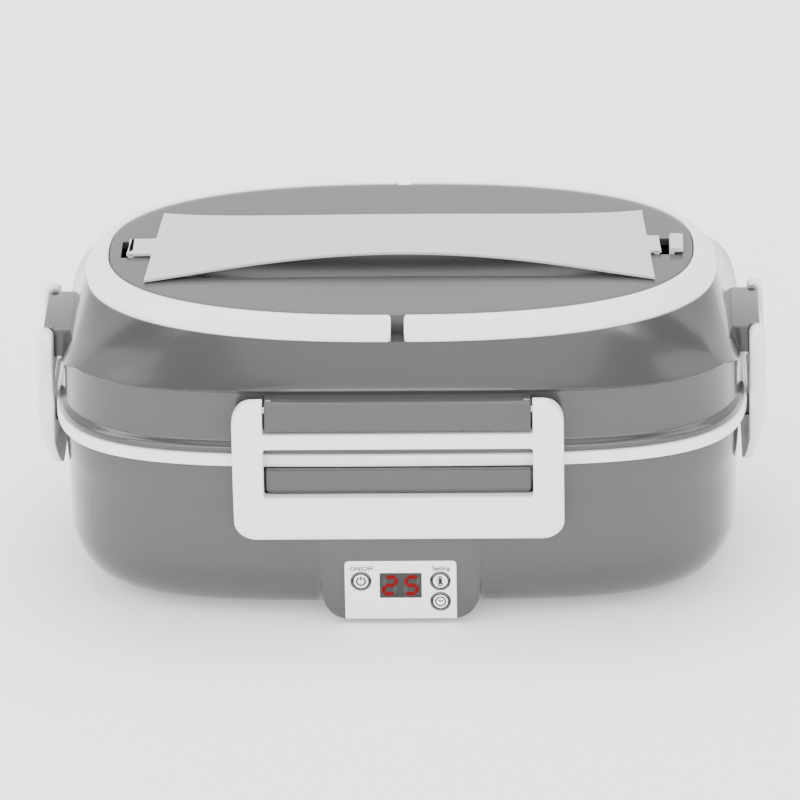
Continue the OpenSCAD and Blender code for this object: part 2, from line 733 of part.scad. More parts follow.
module handle_strap() {
    sides = 8;
    hook_x = slot_out - 3.8;
    color(light_grey) moulded() union() {
        polyhedron(points = [for (i = [0:strap_steps]) each strap_ring(i)],
            faces = concat([[for (i = [sides - 1:-1:0]) i]],
                [for (k = [0:strap_steps - 1], i = [0:sides - 1]) let (j = (i + 1) % sides, a = k * sides)
                    each [[a + i, a + j, a + sides + j], [a + i, a + sides + j, a + sides + i]]],
                [[for (i = [0:sides - 1]) strap_steps * sides + i]]));
        // left tongue, stem and foot
        translate([-slot_out + 2.4, -tongue_w / 2, strap_z]) cube([slot_out - 2.4 - strap_l / 2 + 1, tongue_w, strap_t]);
        translate([-slot_out + 2.4, -tongue_w / 2, foot_top - 1.5]) cube([2, tongue_w, strap_z - foot_top + 2]);
        translate([-slot_out + 1.6, -tongue_w / 2 - 2.5, foot_top - 2]) cube([4.6, tongue_w + 5, 2]);
        // right tongue, stem, foot and the hook that shows beyond the slot
        translate([strap_l / 2 - 1, -tongue_w / 2, strap_z]) cube([slot_in - strap_l / 2 + 3.2, tongue_w, strap_t]);
        translate([slot_in + 0.4, -tongue_w / 2, foot_top - 1.5]) cube([1.8, tongue_w, strap_z - foot_top + 2]);
        translate([slot_in + 0.4, -tongue_w / 2 - 2.5, foot_top - 2]) cube([hook_x + 2 - slot_in - 0.4, tongue_w + 5, 2]);
        translate([hook_x, -tongue_w / 2, foot_top - 1.5]) cube([2, tongue_w, panel_top - foot_top + 3]);
        translate([hook_x, -tongue_w / 2, panel_top + 0.8]) cube([4.6, tongue_w, 1.5]);
    }
}

// ---- latches ----

// Side view of a latch: y runs outward from the rim band, z up
curl = 5.4;
function latch_face(z, bottom) = latch_out - curl * pow(max(0, (sill_z + 8 - z) / (sill_z + 8 - bottom)), 1.7);
latch_profile_steps = 8;

// Points along an arc about c, from angle a0 to a1
function arc(c, r, a0, a1, steps = 6) = [for (i = [0:steps])
    let (a = a0 + (a1 - a0) * i / steps) [c[0] + r * cos(a), c[1] + r * sin(a)]];

module latch_profile(bottom) {
    low = bottom + 1.4;
    zs = [for (i = [0:latch_profile_steps]) low + (sill_z + 8 - low) * i / latch_profile_steps];
    lip_y = -half_d - catch_out + lip_bite;
    polygon(concat([for (z = zs) [-half_d - latch_face(z, bottom), z]],
        arc([-half_d - pivot_out, latch_top - latch_t / 2], latch_t / 2, 180, 0, 12),
        [[-half_d - latch_in, sill_z + 0.5], [lip_y, sill_z], [lip_y, sill_z - 1.6]],
        [for (i = [latch_profile_steps:-1:1]) if (zs[i] < sill_z - 2.5)
            [-half_d - latch_face(zs[i], bottom) + 2.8 + 1.4 * (zs[i] - low) / (sill_z - low), zs[i]]],
        arc([-half_d - latch_face(low, bottom) + 1.4, low], 1.4, 0, -180)));
}

// Front view of a latch's outline, before its window and notch are cut
module latch_outline(width, bottom) {
    low_r = 7.5;
    top_r = 8.5;
    half = width / 2;
    polygon(concat(arc([half - top_r, latch_top - top_r], top_r, 0, 90), arc([-half + top_r, latch_top - top_r], top_r, 90, 180),
        arc([-half + low_r, bottom + low_r], low_r, 180, 270), arc([half - low_r, bottom + low_r], low_r, 270, 360)));
}

module latch(width, height) {
    bottom = latch_top - height;
    gap = width / 2 - latch_arm;
    deep = latch_t + 12;
    front = -half_d - latch_out - 2;
    color(light_grey) difference() {
        intersection() {
            translate([0, front, 0]) upright(deep) latch_outline(width, bottom);
            translate([-width / 2 - 1, 0, 0]) rotate([90, 0, 90]) linear_extrude(width + 2) latch_profile(bottom);
        }
        translate([-gap, front, cross_top]) cube([2 * gap, deep, height]);
        translate([-gap, front, sill_z]) cube([2 * gap, deep, cross_bottom - sill_z]);
        for (s = [-1, 1]) translate([s * gap + (s < 0 ? -arm_bore : -1), -half_d - pivot_out, pivot_z])
            rotate([0, 90, 0]) cylinder(r = pin_r + pin_clear, h = arm_bore + 1);
    }
}

base_shell();
inner_tub();
heating_plate();
ptc_heater();
heater_clamp();
clamp_screws();
thermal_fuse();
temperature_sensor();
control_board();
board_screws();
display_module();
control_panel();
display_window();
button_switches();
power_inlet();
inlet_pins();
mains_leads();
heater_leads();
feet();
base_screws();
food_container();
lid_shell();
lid_liner();
lid_seal();
liner_screws();
top_panel();
trim_ring(-1);  // trim_ring_left
trim_ring(1);  // trim_ring_right
hinge_bar(latch_long);  // hinge_bar_front
at_rear() hinge_bar(latch_long);  // hinge_bar_rear
at_side(-1) hinge_bar(latch_short);  // hinge_bar_left
at_side(1) hinge_bar(latch_short);  // hinge_bar_right
latch_pin(latch_long);  // latch_pin_front
at_rear() latch_pin(latch_long);  // latch_pin_rear
at_side(-1) latch_pin(latch_short);  // latch_pin_left
at_side(1) latch_pin(latch_short);  // latch_pin_right
handle_strap();
latch(latch_long, latch_h);  // latch_front
at_rear() latch(latch_long, latch_h);  // latch_rear
at_side(-1) latch(latch_short, side_latch_h);  // latch_left
at_side(1) latch(latch_short, side_latch_h);  // latch_right
button(button_spots[0]);  // power_button
button(button_spots[1]);  // temperature_button
button(button_spots[2]);  // timer_button
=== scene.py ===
import json
import math

import bmesh
import bpy
import numpy as np
from bpy.props import FloatProperty, FloatVectorProperty, PointerProperty, StringProperty
from mathutils import Matrix, Vector


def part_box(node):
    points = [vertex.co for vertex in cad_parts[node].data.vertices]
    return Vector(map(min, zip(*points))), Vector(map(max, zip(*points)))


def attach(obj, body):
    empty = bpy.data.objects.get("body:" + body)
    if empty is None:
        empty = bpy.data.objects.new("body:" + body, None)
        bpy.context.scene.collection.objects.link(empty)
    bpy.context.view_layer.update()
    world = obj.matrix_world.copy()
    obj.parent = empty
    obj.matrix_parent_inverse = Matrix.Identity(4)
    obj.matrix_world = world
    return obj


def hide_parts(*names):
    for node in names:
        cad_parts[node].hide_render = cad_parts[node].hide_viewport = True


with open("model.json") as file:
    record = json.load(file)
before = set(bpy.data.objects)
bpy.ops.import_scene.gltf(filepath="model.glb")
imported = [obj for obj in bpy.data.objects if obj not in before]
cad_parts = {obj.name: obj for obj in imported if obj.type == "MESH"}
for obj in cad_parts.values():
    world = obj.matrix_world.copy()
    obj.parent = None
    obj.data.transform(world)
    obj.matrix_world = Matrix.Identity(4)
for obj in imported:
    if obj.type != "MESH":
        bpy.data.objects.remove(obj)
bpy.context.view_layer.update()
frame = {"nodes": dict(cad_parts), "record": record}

bl_info = {
    "name": "Electric lunch box",
    "version": (1, 0, 0),
    "blender": (4, 5, 0),
    "location": "View3D > Sidebar > Lunch box",
    "description": "Dresses a heated lunch box: shells, clip latches, strap handle, controls and steel pan",
    "category": "Add Mesh",
}

MM = 0.001


# ---- places that come from the frame ----

def low(node, axis):
    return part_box(node)[0]["xyz".index(axis)]


def high(node, axis):
    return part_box(node)[1]["xyz".index(axis)]


def middle(node, axis):
    return (low(node, axis) + high(node, axis)) / 2


def half_span(node, axis):
    return (high(node, axis) - low(node, axis)) / 2


def heights(node):
    """A node's underside and top, in millimetres."""
    return low(node, "z") / MM, high(node, "z") / MM


# ---- settings ----

def settings(*names):
    """The scene's groups of settings by name: one group, or a list of several."""
    groups = [getattr(bpy.context.scene, "lunch_" + name) for name in names]
    return groups if len(groups) > 1 else groups[0]


def length_of(name, description, default):
    return FloatProperty(name=name, description=description, default=default, unit="LENGTH")


def number_of(name, description, default):
    return FloatProperty(name=name, description=description, default=default)


def angle_of(name, description, degrees):
    return FloatProperty(name=name, description=description, default=math.radians(degrees), subtype="ANGLE")


def colour_of(name, description, default):
    return FloatVectorProperty(name=name, description=description, default=default, size=3,
                               subtype="COLOR", min=0.0, max=1.0)


class BodySizes(bpy.types.PropertyGroup):
    """Outline and heights of the base and its rim band."""

    half_width: length_of("Half width", "Half the rim band's width", high("inner_tub", "x"))
    half_depth: length_of("Half depth", "Half the rim band's depth", high("inner_tub", "y"))
    power: number_of("Squareness", "Power of the body's outline", 4.0)
    bottom: length_of("Bottom", "Height of the base's underside", low("base_shell", "z"))
    top: length_of("Top", "Height of the base wall's top edge", high("base_shell", "z"))
    band_top: length_of("Band top", "Height of the rim band's top", high("inner_tub", "z"))
    inset: length_of("Wall inset", "Setback of the base wall from the rim band", 2.6 * MM)
    wall: length_of("Wall", "Thickness of the moulded walls", 2.4 * MM)
    sole_height: length_of("Sole height", "Height of the rounded lower edge", 20 * MM)
    sole_depth: length_of("Sole depth", "Depth of the rounded lower edge", 16 * MM)
    chin_half: length_of("Chin half width", "Half width of the chin under the front latch", 25.5 * MM)
    inlet_half: length_of("Rear chin half width", "Half width of the block round the inlet", 19 * MM)
    chin_round: length_of("Chin rounding", "Radius of the chin's lower corners", 8 * MM)


class LidSizes(bpy.types.PropertyGroup):
    """Outline and heights of the lid and its top."""

    lip_inset: length_of("Lip inset", "Setback of the lid's lower lip", 0.7 * MM)
    lip_height: length_of("Lip height", "Height of the lid's lower lip", 2.6 * MM)
    skirt_inset: length_of("Skirt inset", "Setback of the lid's straight side", 2.5 * MM)
    crease: length_of("Crease", "Height of the crease below the shoulder", high("lid_shell", "z") - 13.8 * MM)
    side_dip: length_of("Side dip", "How far the crease dips at the left and right", 12 * MM)
    ledge: length_of("Ledge", "Height of the trim ring's seat", low("trim_ring_left", "z"))
    panel_top: length_of("Panel top", "Height of the top panel's face", high("top_panel", "z"))
    panel_half_width: length_of("Panel half width", "Half the top panel's width", high("top_panel", "x"))
    panel_power: number_of("Panel squareness", "Power of the top panel's outline", 2.44)
    ring_width: length_of("Ring width", "Width of the trim ring",
                          high("trim_ring_right", "x") - high("top_panel", "x"))
    ring_gap: length_of("Ring gap", "Gap between the trim ring's halves", 2 * low("trim_ring_right", "x"))


class StrapSizes(bpy.types.PropertyGroup):
    """Size of the handle strap and of the recess under it."""

    length: length_of("Length", "Length of the strap's wide part", 164 * MM)
    width: length_of("Width", "Width of the strap at its ends", high("handle_strap", "y") * 2)
    waist: length_of("Waist", "Width of the strap in the middle", 32.4 * MM)
    thickness: length_of("Thickness", "Thickness of the strap", 1.2 * MM)
    arch: length_of("Arch", "Rise of the strap's middle",
                    high("handle_strap", "z") - high("top_panel", "z") - 1.4 * MM)
    flare: number_of("Flare", "How much longer the strap's front edge is", 0.023)
    tongue: length_of("Tongue", "Width of the tongues", 12.6 * MM)
    recess_half: length_of("Recess half depth", "Half the finger recess's depth, front to back", 22.7 * MM)
    recess_floor: length_of("Recess floor", "Height of the finger recess's floor",
                            high("top_panel", "z") - 9 * MM)


class LatchSizes(bpy.types.PropertyGroup):
    """Size of the latches and their hinge bars."""

    long_width: length_of("Long width", "Width of the front and rear latches", 2 * high("latch_front", "x"))
    short_width: length_of("Short width", "Width of the side latches", 2 * high("latch_left", "y"))
    arm: length_of("Arm", "Width of a latch's arm", 10 * MM)
    top: length_of("Top", "Height of a latch's top", high("latch_front", "z"))
    bottom: length_of("Bottom", "Height of the front and rear latches' lower edge", low("latch_front", "z"))
    side_bottom: length_of("Side bottom", "Height of the side latches' lower edge", low("latch_left", "z"))
    face: length_of("Face", "Distance of a latch's face from the rim band",
                    -low("latch_front", "y") - high("inner_tub", "y"))
    thickness: length_of("Thickness", "Thickness of a latch's arm", 5.7 * MM)
    curl: length_of("Curl", "How far the lower edge curls in", 5.4 * MM)
    bar_top: length_of("Bar top", "Height of the hinge bar's top", high("hinge_bar_front", "z"))
    bar_bottom: length_of("Bar bottom", "Height of the hinge bar's underside", low("hinge_bar_front", "z"))
    crossbar: length_of("Crossbar", "Height of the bar between the arms", 5.3 * MM)
    window: length_of("Window", "Height of the latch's window", 17.4 * MM)
    bar_lean: length_of("Bar lean", "How far the hinge bar's face leans in at its top", 1.5 * MM)
    pivot_y: length_of("Pivot distance", "Distance of the front pin's axis from the middle",
                       -middle("latch_pin_front", "y"))


class ControlSizes(bpy.types.PropertyGroup):
    """Size and places of the control panel's parts."""

    half_width: length_of("Half width", "Half the control panel's width", high("control_panel", "x"))
    bottom: length_of("Bottom", "Height of the control panel's lower edge", low("control_panel", "z"))
    top: length_of("Top", "Height of the control panel's upper edge", high("control_panel", "z"))
    face: length_of("Face", "Distance of the panel's face from the middle", -low("control_panel", "y"))
    thickness: length_of("Thickness", "Thickness of the control panel", 1.2 * MM)
    button: length_of("Button radius", "Radius of the push buttons", half_span("power_button", "x"))
    reading: StringProperty(name="Reading", description="Two digits that the display shows", default="25")


class Finishes(bpy.types.PropertyGroup):
    """Colours of the finishes."""

    body: colour_of("Body grey", "Plastic of the base and lid", (0.049, 0.0493, 0.0502))
    top: colour_of("Top grey", "Plastic of the top panel", (0.052, 0.0523, 0.0533))
    light: colour_of("Light grey", "Plastic of the latches, ring and band", (0.880, 0.882, 0.885))
    strap: colour_of("Strap grey", "Plastic of the strap handle", (0.530, 0.532, 0.536))
    panel: colour_of("Panel grey", "Plastic of the control panel and buttons", (0.90, 0.90, 0.90))
    ink: colour_of("Ink", "Printed symbols and lettering", (0.010, 0.010, 0.011))
    display: colour_of("Display", "Tinted window of the display", (0.012, 0.011, 0.011))
    digit: colour_of("Digit red", "Lit segments of the display", (0.30, 0.001, 0.003))
    steel: colour_of("Steel", "Stainless sheet and screws", (0.60, 0.60, 0.61))


class StudioSettings(bpy.types.PropertyGroup):
    """Camera and light."""

    lens: FloatProperty(name="Lens", description="Focal length", default=336.4, unit="CAMERA")
    distance: length_of("Distance", "Distance of the camera from its target", 2.5)
    target: length_of("Target height", "Height of the point that the camera looks at", 0.05)
    elevation: angle_of("Elevation", "Angle of the camera above the horizon", 24)
    heading: angle_of("Heading", "Angle of the camera round the box", 1.58)
    roll: angle_of("Roll", "Turn of the picture", 0.98)


# ---- outlines ----

RING_POINTS = 320
FINE_POINTS = 12001
SPACING_POWER = 3.4
DIP_REACH, DIP_POWER = 0.72, 1.6
LONGEST_CUT = 0.48


def outline(half_x, half_y, power, angles):
    """Points of a squared oval, one for each angle."""
    across, along = np.cos(angles), np.sin(angles)
    return np.stack([half_x * np.sign(across) * np.abs(across) ** (2 / power),
                     half_y * np.sign(along) * np.abs(along) ** (2 / power)], axis=1)


def run_along(points):
    """The distance run along a line of points, at each point."""
    return np.concatenate([[0], np.cumsum(np.linalg.norm(np.diff(points, axis=0), axis=1))])


def even_angles(half_x, half_y, power, count):
    """Angles that space an outline's points evenly."""
    fine = np.linspace(0, 2 * math.pi, FINE_POINTS)
    run = run_along(outline(half_x, half_y, power, fine))
    return np.interp(np.arange(count) / count * run[-1], run, fine)


ANGLES = even_angles(high("inner_tub", "x"), high("inner_tub", "y"), SPACING_POWER, RING_POINTS)


def flat_ring(half_x, half_y, power, z):
    points = outline(half_x, half_y, power, ANGLES)
    return np.column_stack([points, np.full(len(points), z)])


def inset_ring(inset, z, power=None):
    """A ring of the body's outline, set in from the rim band."""
    body = settings("body")
    return flat_ring(body.half_width - inset, body.half_depth - inset, power or body.power, z)


def dipped(ring, dip):
    """The ring with its points lowered towards the left and right sides by up to dip."""
    share = np.clip(1 - (ring[:, 1] / (DIP_REACH * settings("body").half_depth)) ** 2, 0, None) ** DIP_POWER
    return ring - np.outer(dip * share, (0, 0, 1))


def share_of(value, start, stop):
    """How far a value lies on the way from start (0) to stop (1)."""
    return np.clip((value - start) / (stop - start), 0, 1)


def filleted(corners, steps=4):
    """A line in metres through corners in millimetres (inset or reach, height, radius), each corner
    rounded by its radius. A power may stand before the radius; it keeps its value."""
    values = [np.array(corner[:-1], float) for corner in corners]
    line = [values[0]]
    for before, here, after, corner in zip(values, values[1:], values[2:], corners[1:-1]):
        if corner[-1] <= 0:
            line.append(here)
            continue
        back, ahead = before - here, after - here
        back_run, ahead_run = np.linalg.norm(back[:2]), np.linalg.norm(ahead[:2])
        cut = min(corner[-1], LONGEST_CUT * back_run, LONGEST_CUT * ahead_run)
        first, last = here + back * cut / back_run, here + ahead * cut / ahead_run
        for t in np.arange(steps + 1) / steps:
            line.append((1 - t) ** 2 * first + 2 * t * (1 - t) * here + t ** 2 * last)
    line.append(values[-1])
    return [point * np.array((MM, MM, 1))[:len(point)] for point in line]


def arc(x, y, radius, start, stop, steps=24):
    """Points on an arc from one angle to another, in degrees."""
    angles = [math.radians(start + (stop - start) * i / steps) for i in range(steps + 1)]
    return [(x + radius * math.cos(angle), y + radius * math.sin(angle)) for angle in angles]


def circle(centre, radius, count=48):
    """Points of a circle, as an array."""
    angles = np.arange(count) * 2 * math.pi / count
    return np.column_stack([centre[0] + radius * np.cos(angles), centre[1] + radius * np.sin(angles)])


def rounded_box(x0, y0, x1, y1, radii, steps=8):
    """A rectangle's outline with its own radius in millimetres at each corner, from the lower right on."""
    points = []
    corners = [(x1, y0, -1, 1, -90), (x1, y1, -1, -1, 0), (x0, y1, 1, -1, 90), (x0, y0, 1, 1, 180)]
    for (x, y, sx, sy, start), radius in zip(corners, np.array(radii) * MM):
        points += arc(x + sx * radius, y + sy * radius, radius, start, start + 90, steps)
    return points


# ---- meshes ----

def reworked(mesh, change):
    """The mesh with a change worked on it."""
    work = bmesh.new()
    work.from_mesh(mesh)
    change(work)
    work.to_mesh(mesh)
    work.free()
    return mesh


def outward(mesh):
    """Turns every face's normal outward."""
    return reworked(mesh, lambda work: bmesh.ops.recalc_face_normals(work, faces=work.faces))


def loft(name, rings, hoop=False):
    """A closed solid through rings of points: capped at both ends, or a hoop."""
    count, total = len(rings[0]), len(rings) * len(rings[0])
    faces = []
    for a in range(0, total if hoop else total - count, count):
        b = (a + count) % total
        faces += [(a + i, a + (i + 1) % count, b + (i + 1) % count, b + i) for i in range(count)]
    if not hoop:
        faces += [tuple(range(count - 1, -1, -1)), tuple(range(total - count, total))]
    mesh = bpy.data.meshes.new(name)
    mesh.from_pydata([tuple(point) for point in np.concatenate(rings)], [], faces)
    return outward(mesh)


def body_loft(name, profile, hoop=False):
    """A loft of the body's outline along a profile of (inset, height)."""
    return loft(name, [inset_ring(inset, z) for inset, z in profile], hoop)


def smooth(mesh, sharp):
    """Shades a mesh smooth, with edges sharper than the angle left crisp."""
    mesh.polygons.foreach_set("use_smooth", [True] * len(mesh.polygons))
    mesh.set_sharp_from_angle(angle=math.radians(sharp))
    return mesh


def moved(mesh, change):
    """The mesh with change worked on its points, an array of x, y and z."""
    points = np.zeros(len(mesh.vertices) * 3)
    mesh.vertices.foreach_get("co", points)
    mesh.vertices.foreach_set("co", np.asarray(change(points.reshape(-1, 3)), float).ravel())
    mesh.update()
    return outward(mesh)


def joined(name, meshes):
    """One mesh that holds several, each still its own closed form."""
    work = bmesh.new()
    for mesh in meshes:
        work.from_mesh(mesh)
        bpy.data.meshes.remove(mesh)
    whole = bpy.data.meshes.new(name)
    work.to_mesh(whole)
    work.free()
    return whole


def linked(name, data):
    thing = bpy.data.objects.new(name, data)
    bpy.context.scene.collection.objects.link(thing)
    return thing


def baked(thing):
    """The mesh of an object as its modifiers leave it; the object goes."""
    bpy.context.view_layer.update()
    ready = thing.evaluated_get(bpy.context.evaluated_depsgraph_get())
    mesh = bpy.data.meshes.new_from_object(ready)
    bpy.data.objects.remove(thing)
    return mesh


def modified(mesh, kind, choices):
    """The mesh as modifiers of one kind leave it, one for each set of choices."""
    thing = linked("modified", mesh)
    for values in choices:
        modifier = thing.modifiers.new("change", kind)
        for name, value in values.items():
            setattr(modifier, name, value)
    return baked(thing)


def carved(mesh, cutters):
    """The mesh with the cutters' shapes taken out of it."""
    tools = [linked("cutter", cutter) for cutter in cutters]
    mesh = modified(mesh, "BOOLEAN", [{"operation": "DIFFERENCE", "solver": "EXACT", "object": tool}
                                      for tool in tools])
    for tool in tools:
        bpy.data.objects.remove(tool)
    return mesh


def block(lo, hi, edge=0.0):
    """A box between two corners in millimetres, with rounded edges."""
    lo, hi = Vector(lo) * MM, Vector(hi) * MM
    mesh = reworked(bpy.data.meshes.new("block"), lambda work: bmesh.ops.create_cube(work, size=1.0))
    mesh.transform(Matrix.Translation((lo + hi) / 2) @ Matrix.Diagonal((*(hi - lo), 1)))
    if not edge:
        return mesh
    return modified(mesh, "BEVEL", [{"width": edge * MM, "segments": 3, "limit_method": "ANGLE",
                                     "angle_limit": math.radians(40)}])


def curve_of(dimensions, outlines, closed=True, **values):
    """An object with a curve through each outline's points; the values are the curve's own settings."""
    curve = bpy.data.curves.new("curve", "CURVE")
    curve.dimensions = dimensions
    for name, value in values.items():
        setattr(curve, name, value)
    for points in outlines:
        spline = curve.splines.new("POLY")
        spline.points.add(len(points) - 1)
        for point, place in zip(spline.points, points):
            point.co = (*place, 1)
        spline.use_cyclic_u = closed
    return linked("curve", curve)


def plate(outlines, thickness, edge):
    """A flat plate in the XY plane, z from 0 to thickness, with holes and rounded edges."""
    flat = [[(x, y, 0) for x, y in points] for points in outlines]
    mesh = baked(curve_of("2D", flat, fill_mode="BOTH", extrude=thickness / 2 - edge, bevel_depth=edge,
                          bevel_resolution=3, offset=-edge))
    reworked(mesh, lambda work: bmesh.ops.remove_doubles(work, verts=work.verts, dist=1e-6))
    mesh.transform(Matrix.Translation((0, 0, thickness / 2)))
    return outward(mesh)


def front_plate(outlines, thickness, edge, face):
    """A plate stood up so that its top looks to the front and lies at y = -face."""
    def stand(points):
        return np.column_stack([points[:, 0], -face + points[:, 2].max() - points[:, 2], points[:, 1]])
    return moved(plate(outlines, thickness, edge), stand)


def sliced(mesh, axis, places):
    """Cuts a mesh's faces at places along an axis, so that it can be bent there."""
    normal = Vector([float(letter == axis) for letter in "xyz"])

    def cut(work):
        for place in places:
            geometry = work.verts[:] + work.edges[:] + work.faces[:]
            bmesh.ops.bisect_plane(work, geom=geometry, plane_co=normal * place, plane_no=normal, dist=1e-7)

    return reworked(mesh, cut)


def turned(name, profile, centre):
    """A turned part on an axis that points to the front: profile is (radius, distance to the front)."""
    rings = []
    for radius, ahead in profile:
        across, up = circle(centre, radius).T
        rings.append(np.column_stack([across, np.full(len(up), -ahead), up]))
    return loft(name, rings)


SIDES = {"front": 0, "right": 90, "rear": 180, "left": -90}


def at_side(mesh, side):
    """Turns a mesh made for the front to another side of the box."""
    body = settings("body")
    shift = body.half_depth - body.half_width if side in ("left", "right") else 0
    mesh.transform(Matrix.Rotation(math.radians(SIDES[side]), 4, "Z") @ Matrix.Translation((0, shift, 0)))
    return mesh


def add_piece(name, mesh, body, slot, *nodes, sharp=34, finish=None):
    """Links a finished mesh as a piece on a body, in a slot's material, standing for CAD nodes."""
    mesh.name = name
    mesh.materials.clear()
    mesh.materials.append(material(finish or slot))
    piece = linked(name, smooth(mesh, sharp))
    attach(piece, body)
    if nodes:
        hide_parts(*nodes)


# ---- shaders ----

class Wire:
    """A shader socket that takes part in sums as a number does."""

    def __init__(self, shader, socket):
        self.shader = shader
        self.socket = socket

    def _math(self, operation, first, second):
        return self.shader.node("ShaderNodeMath", {"operation": operation}, {0: first, 1: second}).out()

    def __add__(self, other):
        return self._math("ADD", self, other)

    def __radd__(self, other):
        return self._math("ADD", other, self)

    def __sub__(self, other):
        return self._math("SUBTRACT", self, other)

    def __rsub__(self, other):
        return self._math("SUBTRACT", other, self)

    def __mul__(self, other):
        return self._math("MULTIPLY", self, other)

    def __rmul__(self, other):
        return self._math("MULTIPLY", other, self)


class Made:
    """A node just made, with its outputs at hand."""

    def __init__(self, shader, node):
        self.shader = shader
        self.node = node

    def out(self, name=0):
        return Wire(self.shader, self.node.outputs[name])


MIX_FACTOR, MIX_DARK, MIX_PALE, MIX_RESULT = 0, 6, 7, 2


class Shader:
    """The node tree of one material, or of the world."""

    def __init__(self, name, world=False):
        self.owner = bpy.data.worlds.new(name) if world else bpy.data.materials.new(name)
        self.owner.use_nodes = True
        self.tree = self.owner.node_tree
        self.surface = self.tree.nodes["Background" if world else "Principled BSDF"]

    def node(self, kind, choices=None, inputs=None):
        """Makes a node: its settings first, then the values or wires of its sockets."""
        node = self.tree.nodes.new(kind)
        for name, value in (choices or {}).items():
            setattr(node, name, value)
        for name, value in (inputs or {}).items():
            self.feed(node.inputs[name], value)
        return Made(self, node)

    def feed(self, socket, value):
        if isinstance(value, Wire):
            self.tree.links.new(value.socket, socket)
        else:
            socket.default_value = value

    def set(self, **values):
        """Feeds sockets of the surface shader, named in lower case with underscores."""
        for name, value in values.items():
            self.feed(self.surface.inputs[name.replace("_", " ").title().replace("Ior", "IOR")], value)

    def place(self, stretch=(1, 1, 1)):
        """Where a point lies on its piece, in metres, stretched along each axis."""
        here = self.node("ShaderNodeTexCoord").out("Object")
        return self.node("ShaderNodeMapping", {}, {"Vector": here, "Scale": stretch}).out()

    def noise(self, scale, detail=3.0, stretch=(1, 1, 1)):
        return self.node("ShaderNodeTexNoise", {}, {"Vector": self.place(stretch), "Scale": scale,
                                                    "Detail": detail}).out("Fac")

    def tint(self, amount, dark, pale):
        """A colour between two, by an amount from 0 to 1."""
        mix = self.node("ShaderNodeMix", {"data_type": "RGBA"},
                        {MIX_FACTOR: amount, MIX_DARK: (*dark, 1.0), MIX_PALE: (*pale, 1.0)})
        return mix.out(MIX_RESULT)

    def soft_step(self, value, start, stop):
        """Rises from 0 at start to 1 at stop."""
        return self.node("ShaderNodeMapRange", {"interpolation_type": "SMOOTHSTEP"},
                         {"Value": value, "From Min": start, "From Max": stop}).out("Result")

    def bump(self, height, distance):
        self.set(normal=self.node("ShaderNodeBump", {}, {"Height": height, "Distance": distance}).out())


def shade(colour, factor):
    return tuple(min(1.0, c * factor) for c in colour)


def moulded_plastic(name, colour, gloss, sheen_change, grain=0.00002, coat=0.0):
    """Moulded plastic: faint flow clouds in the colour, uneven gloss and a very fine grain."""
    shader = Shader(name)
    clouds = shader.noise(14.0, 4.0)
    fine = shader.noise(2600.0, 2.0)
    handled = shader.noise(60.0, 5.0)
    shader.set(base_color=shader.tint(clouds * 0.7 + fine * 0.3, shade(colour, 0.955), shade(colour, 1.045)),
               roughness=handled * sheen_change + (gloss - sheen_change / 2), coat_weight=coat,
               coat_roughness=0.06)
    shader.bump(fine, grain)
    return shader.owner


def brushed_metal(name, colour, along, gloss):
    """Drawn or brushed metal: long fine lines along one axis, and soft smears."""
    shader = Shader(name)
    lines = shader.noise(1.0, 4.0, tuple(40.0 if letter == along else 2200.0 for letter in "xyz"))
    smears = shader.noise(35.0, 3.0)
    shader.set(base_color=shader.tint(lines * 0.6 + smears * 0.4, shade(colour, 0.86), shade(colour, 1.1)),
               metallic=1.0, roughness=lines * 0.14 + smears * 0.10 + (gloss - 0.12))
    shader.bump(lines, 0.00003)
    return shader.owner


def rubber(name, colour, grain=0.00006):
    """Matt rubber or silicone with a dusty, uneven surface."""
    shader = Shader(name)
    dust = shader.noise(90.0, 6.0)
    shader.set(base_color=shader.tint(dust, shade(colour, 0.85), shade(colour, 1.2)),
               roughness=dust * 0.12 + 0.62)
    shader.bump(shader.noise(1500.0, 2.0), grain)
    return shader.owner


def circuit_laminate(name):
    """Green circuit laminate with straight copper tracks under the mask."""
    shader = Shader(name)
    tracks = shader.node("ShaderNodeTexBrick", {"offset": 0.37}, {
        "Vector": shader.place(), "Scale": 320.0, "Mortar Size": 0.06,
        "Color1": (0, 0, 0, 1), "Color2": (0.3, 0.3, 0.3, 1), "Mortar": (1, 1, 1, 1)}).out("Fac")
    shader.set(base_color=shader.tint(tracks, (0.010, 0.075, 0.035), (0.03, 0.17, 0.08)),
               roughness=0.42 - tracks * 0.14)
    shader.bump(tracks, 0.00003)
    return shader.owner


def fired_ceramic(name):
    """Unglazed ceramic with pits and stains."""
    shader = Shader(name)
    stains = shader.noise(70.0, 5.0)
    pits = shader.noise(1100.0, 3.0)
    shader.set(base_color=shader.tint(stains, (0.52, 0.44, 0.32), (0.70, 0.64, 0.52)),
               roughness=0.55 + pits * 0.2)
    shader.bump(pits, 0.00005)
    return shader.owner


def lit_segment(name, colour, strength):
    """A display segment that glows a little unevenly."""
    shader = Shader(name)
    glow = shader.noise(400.0, 2.0)
    shader.set(base_color=shader.tint(glow, shade(colour, 0.3), shade(colour, 0.5)), roughness=0.35,
               emission_color=shader.tint(glow, shade(colour, 0.9), shade(colour, 1.15)),
               emission_strength=strength, specular_ior_level=0.1)
    return shader.owner


def tinted_window(name, colour):
    """The display's tinted window: dark, smooth and lightly scuffed."""
    shader = Shader(name)
    scuffs = shader.noise(900.0, 6.0, (1, 1, 4))
    haze = shader.noise(50.0, 2.0)
    shader.set(base_color=shader.tint(haze, shade(colour, 0.8), shade(colour, 1.5)),
               roughness=0.12 + scuffs * 0.08)
    shader.bump(scuffs, 0.000004)
    return shader.owner


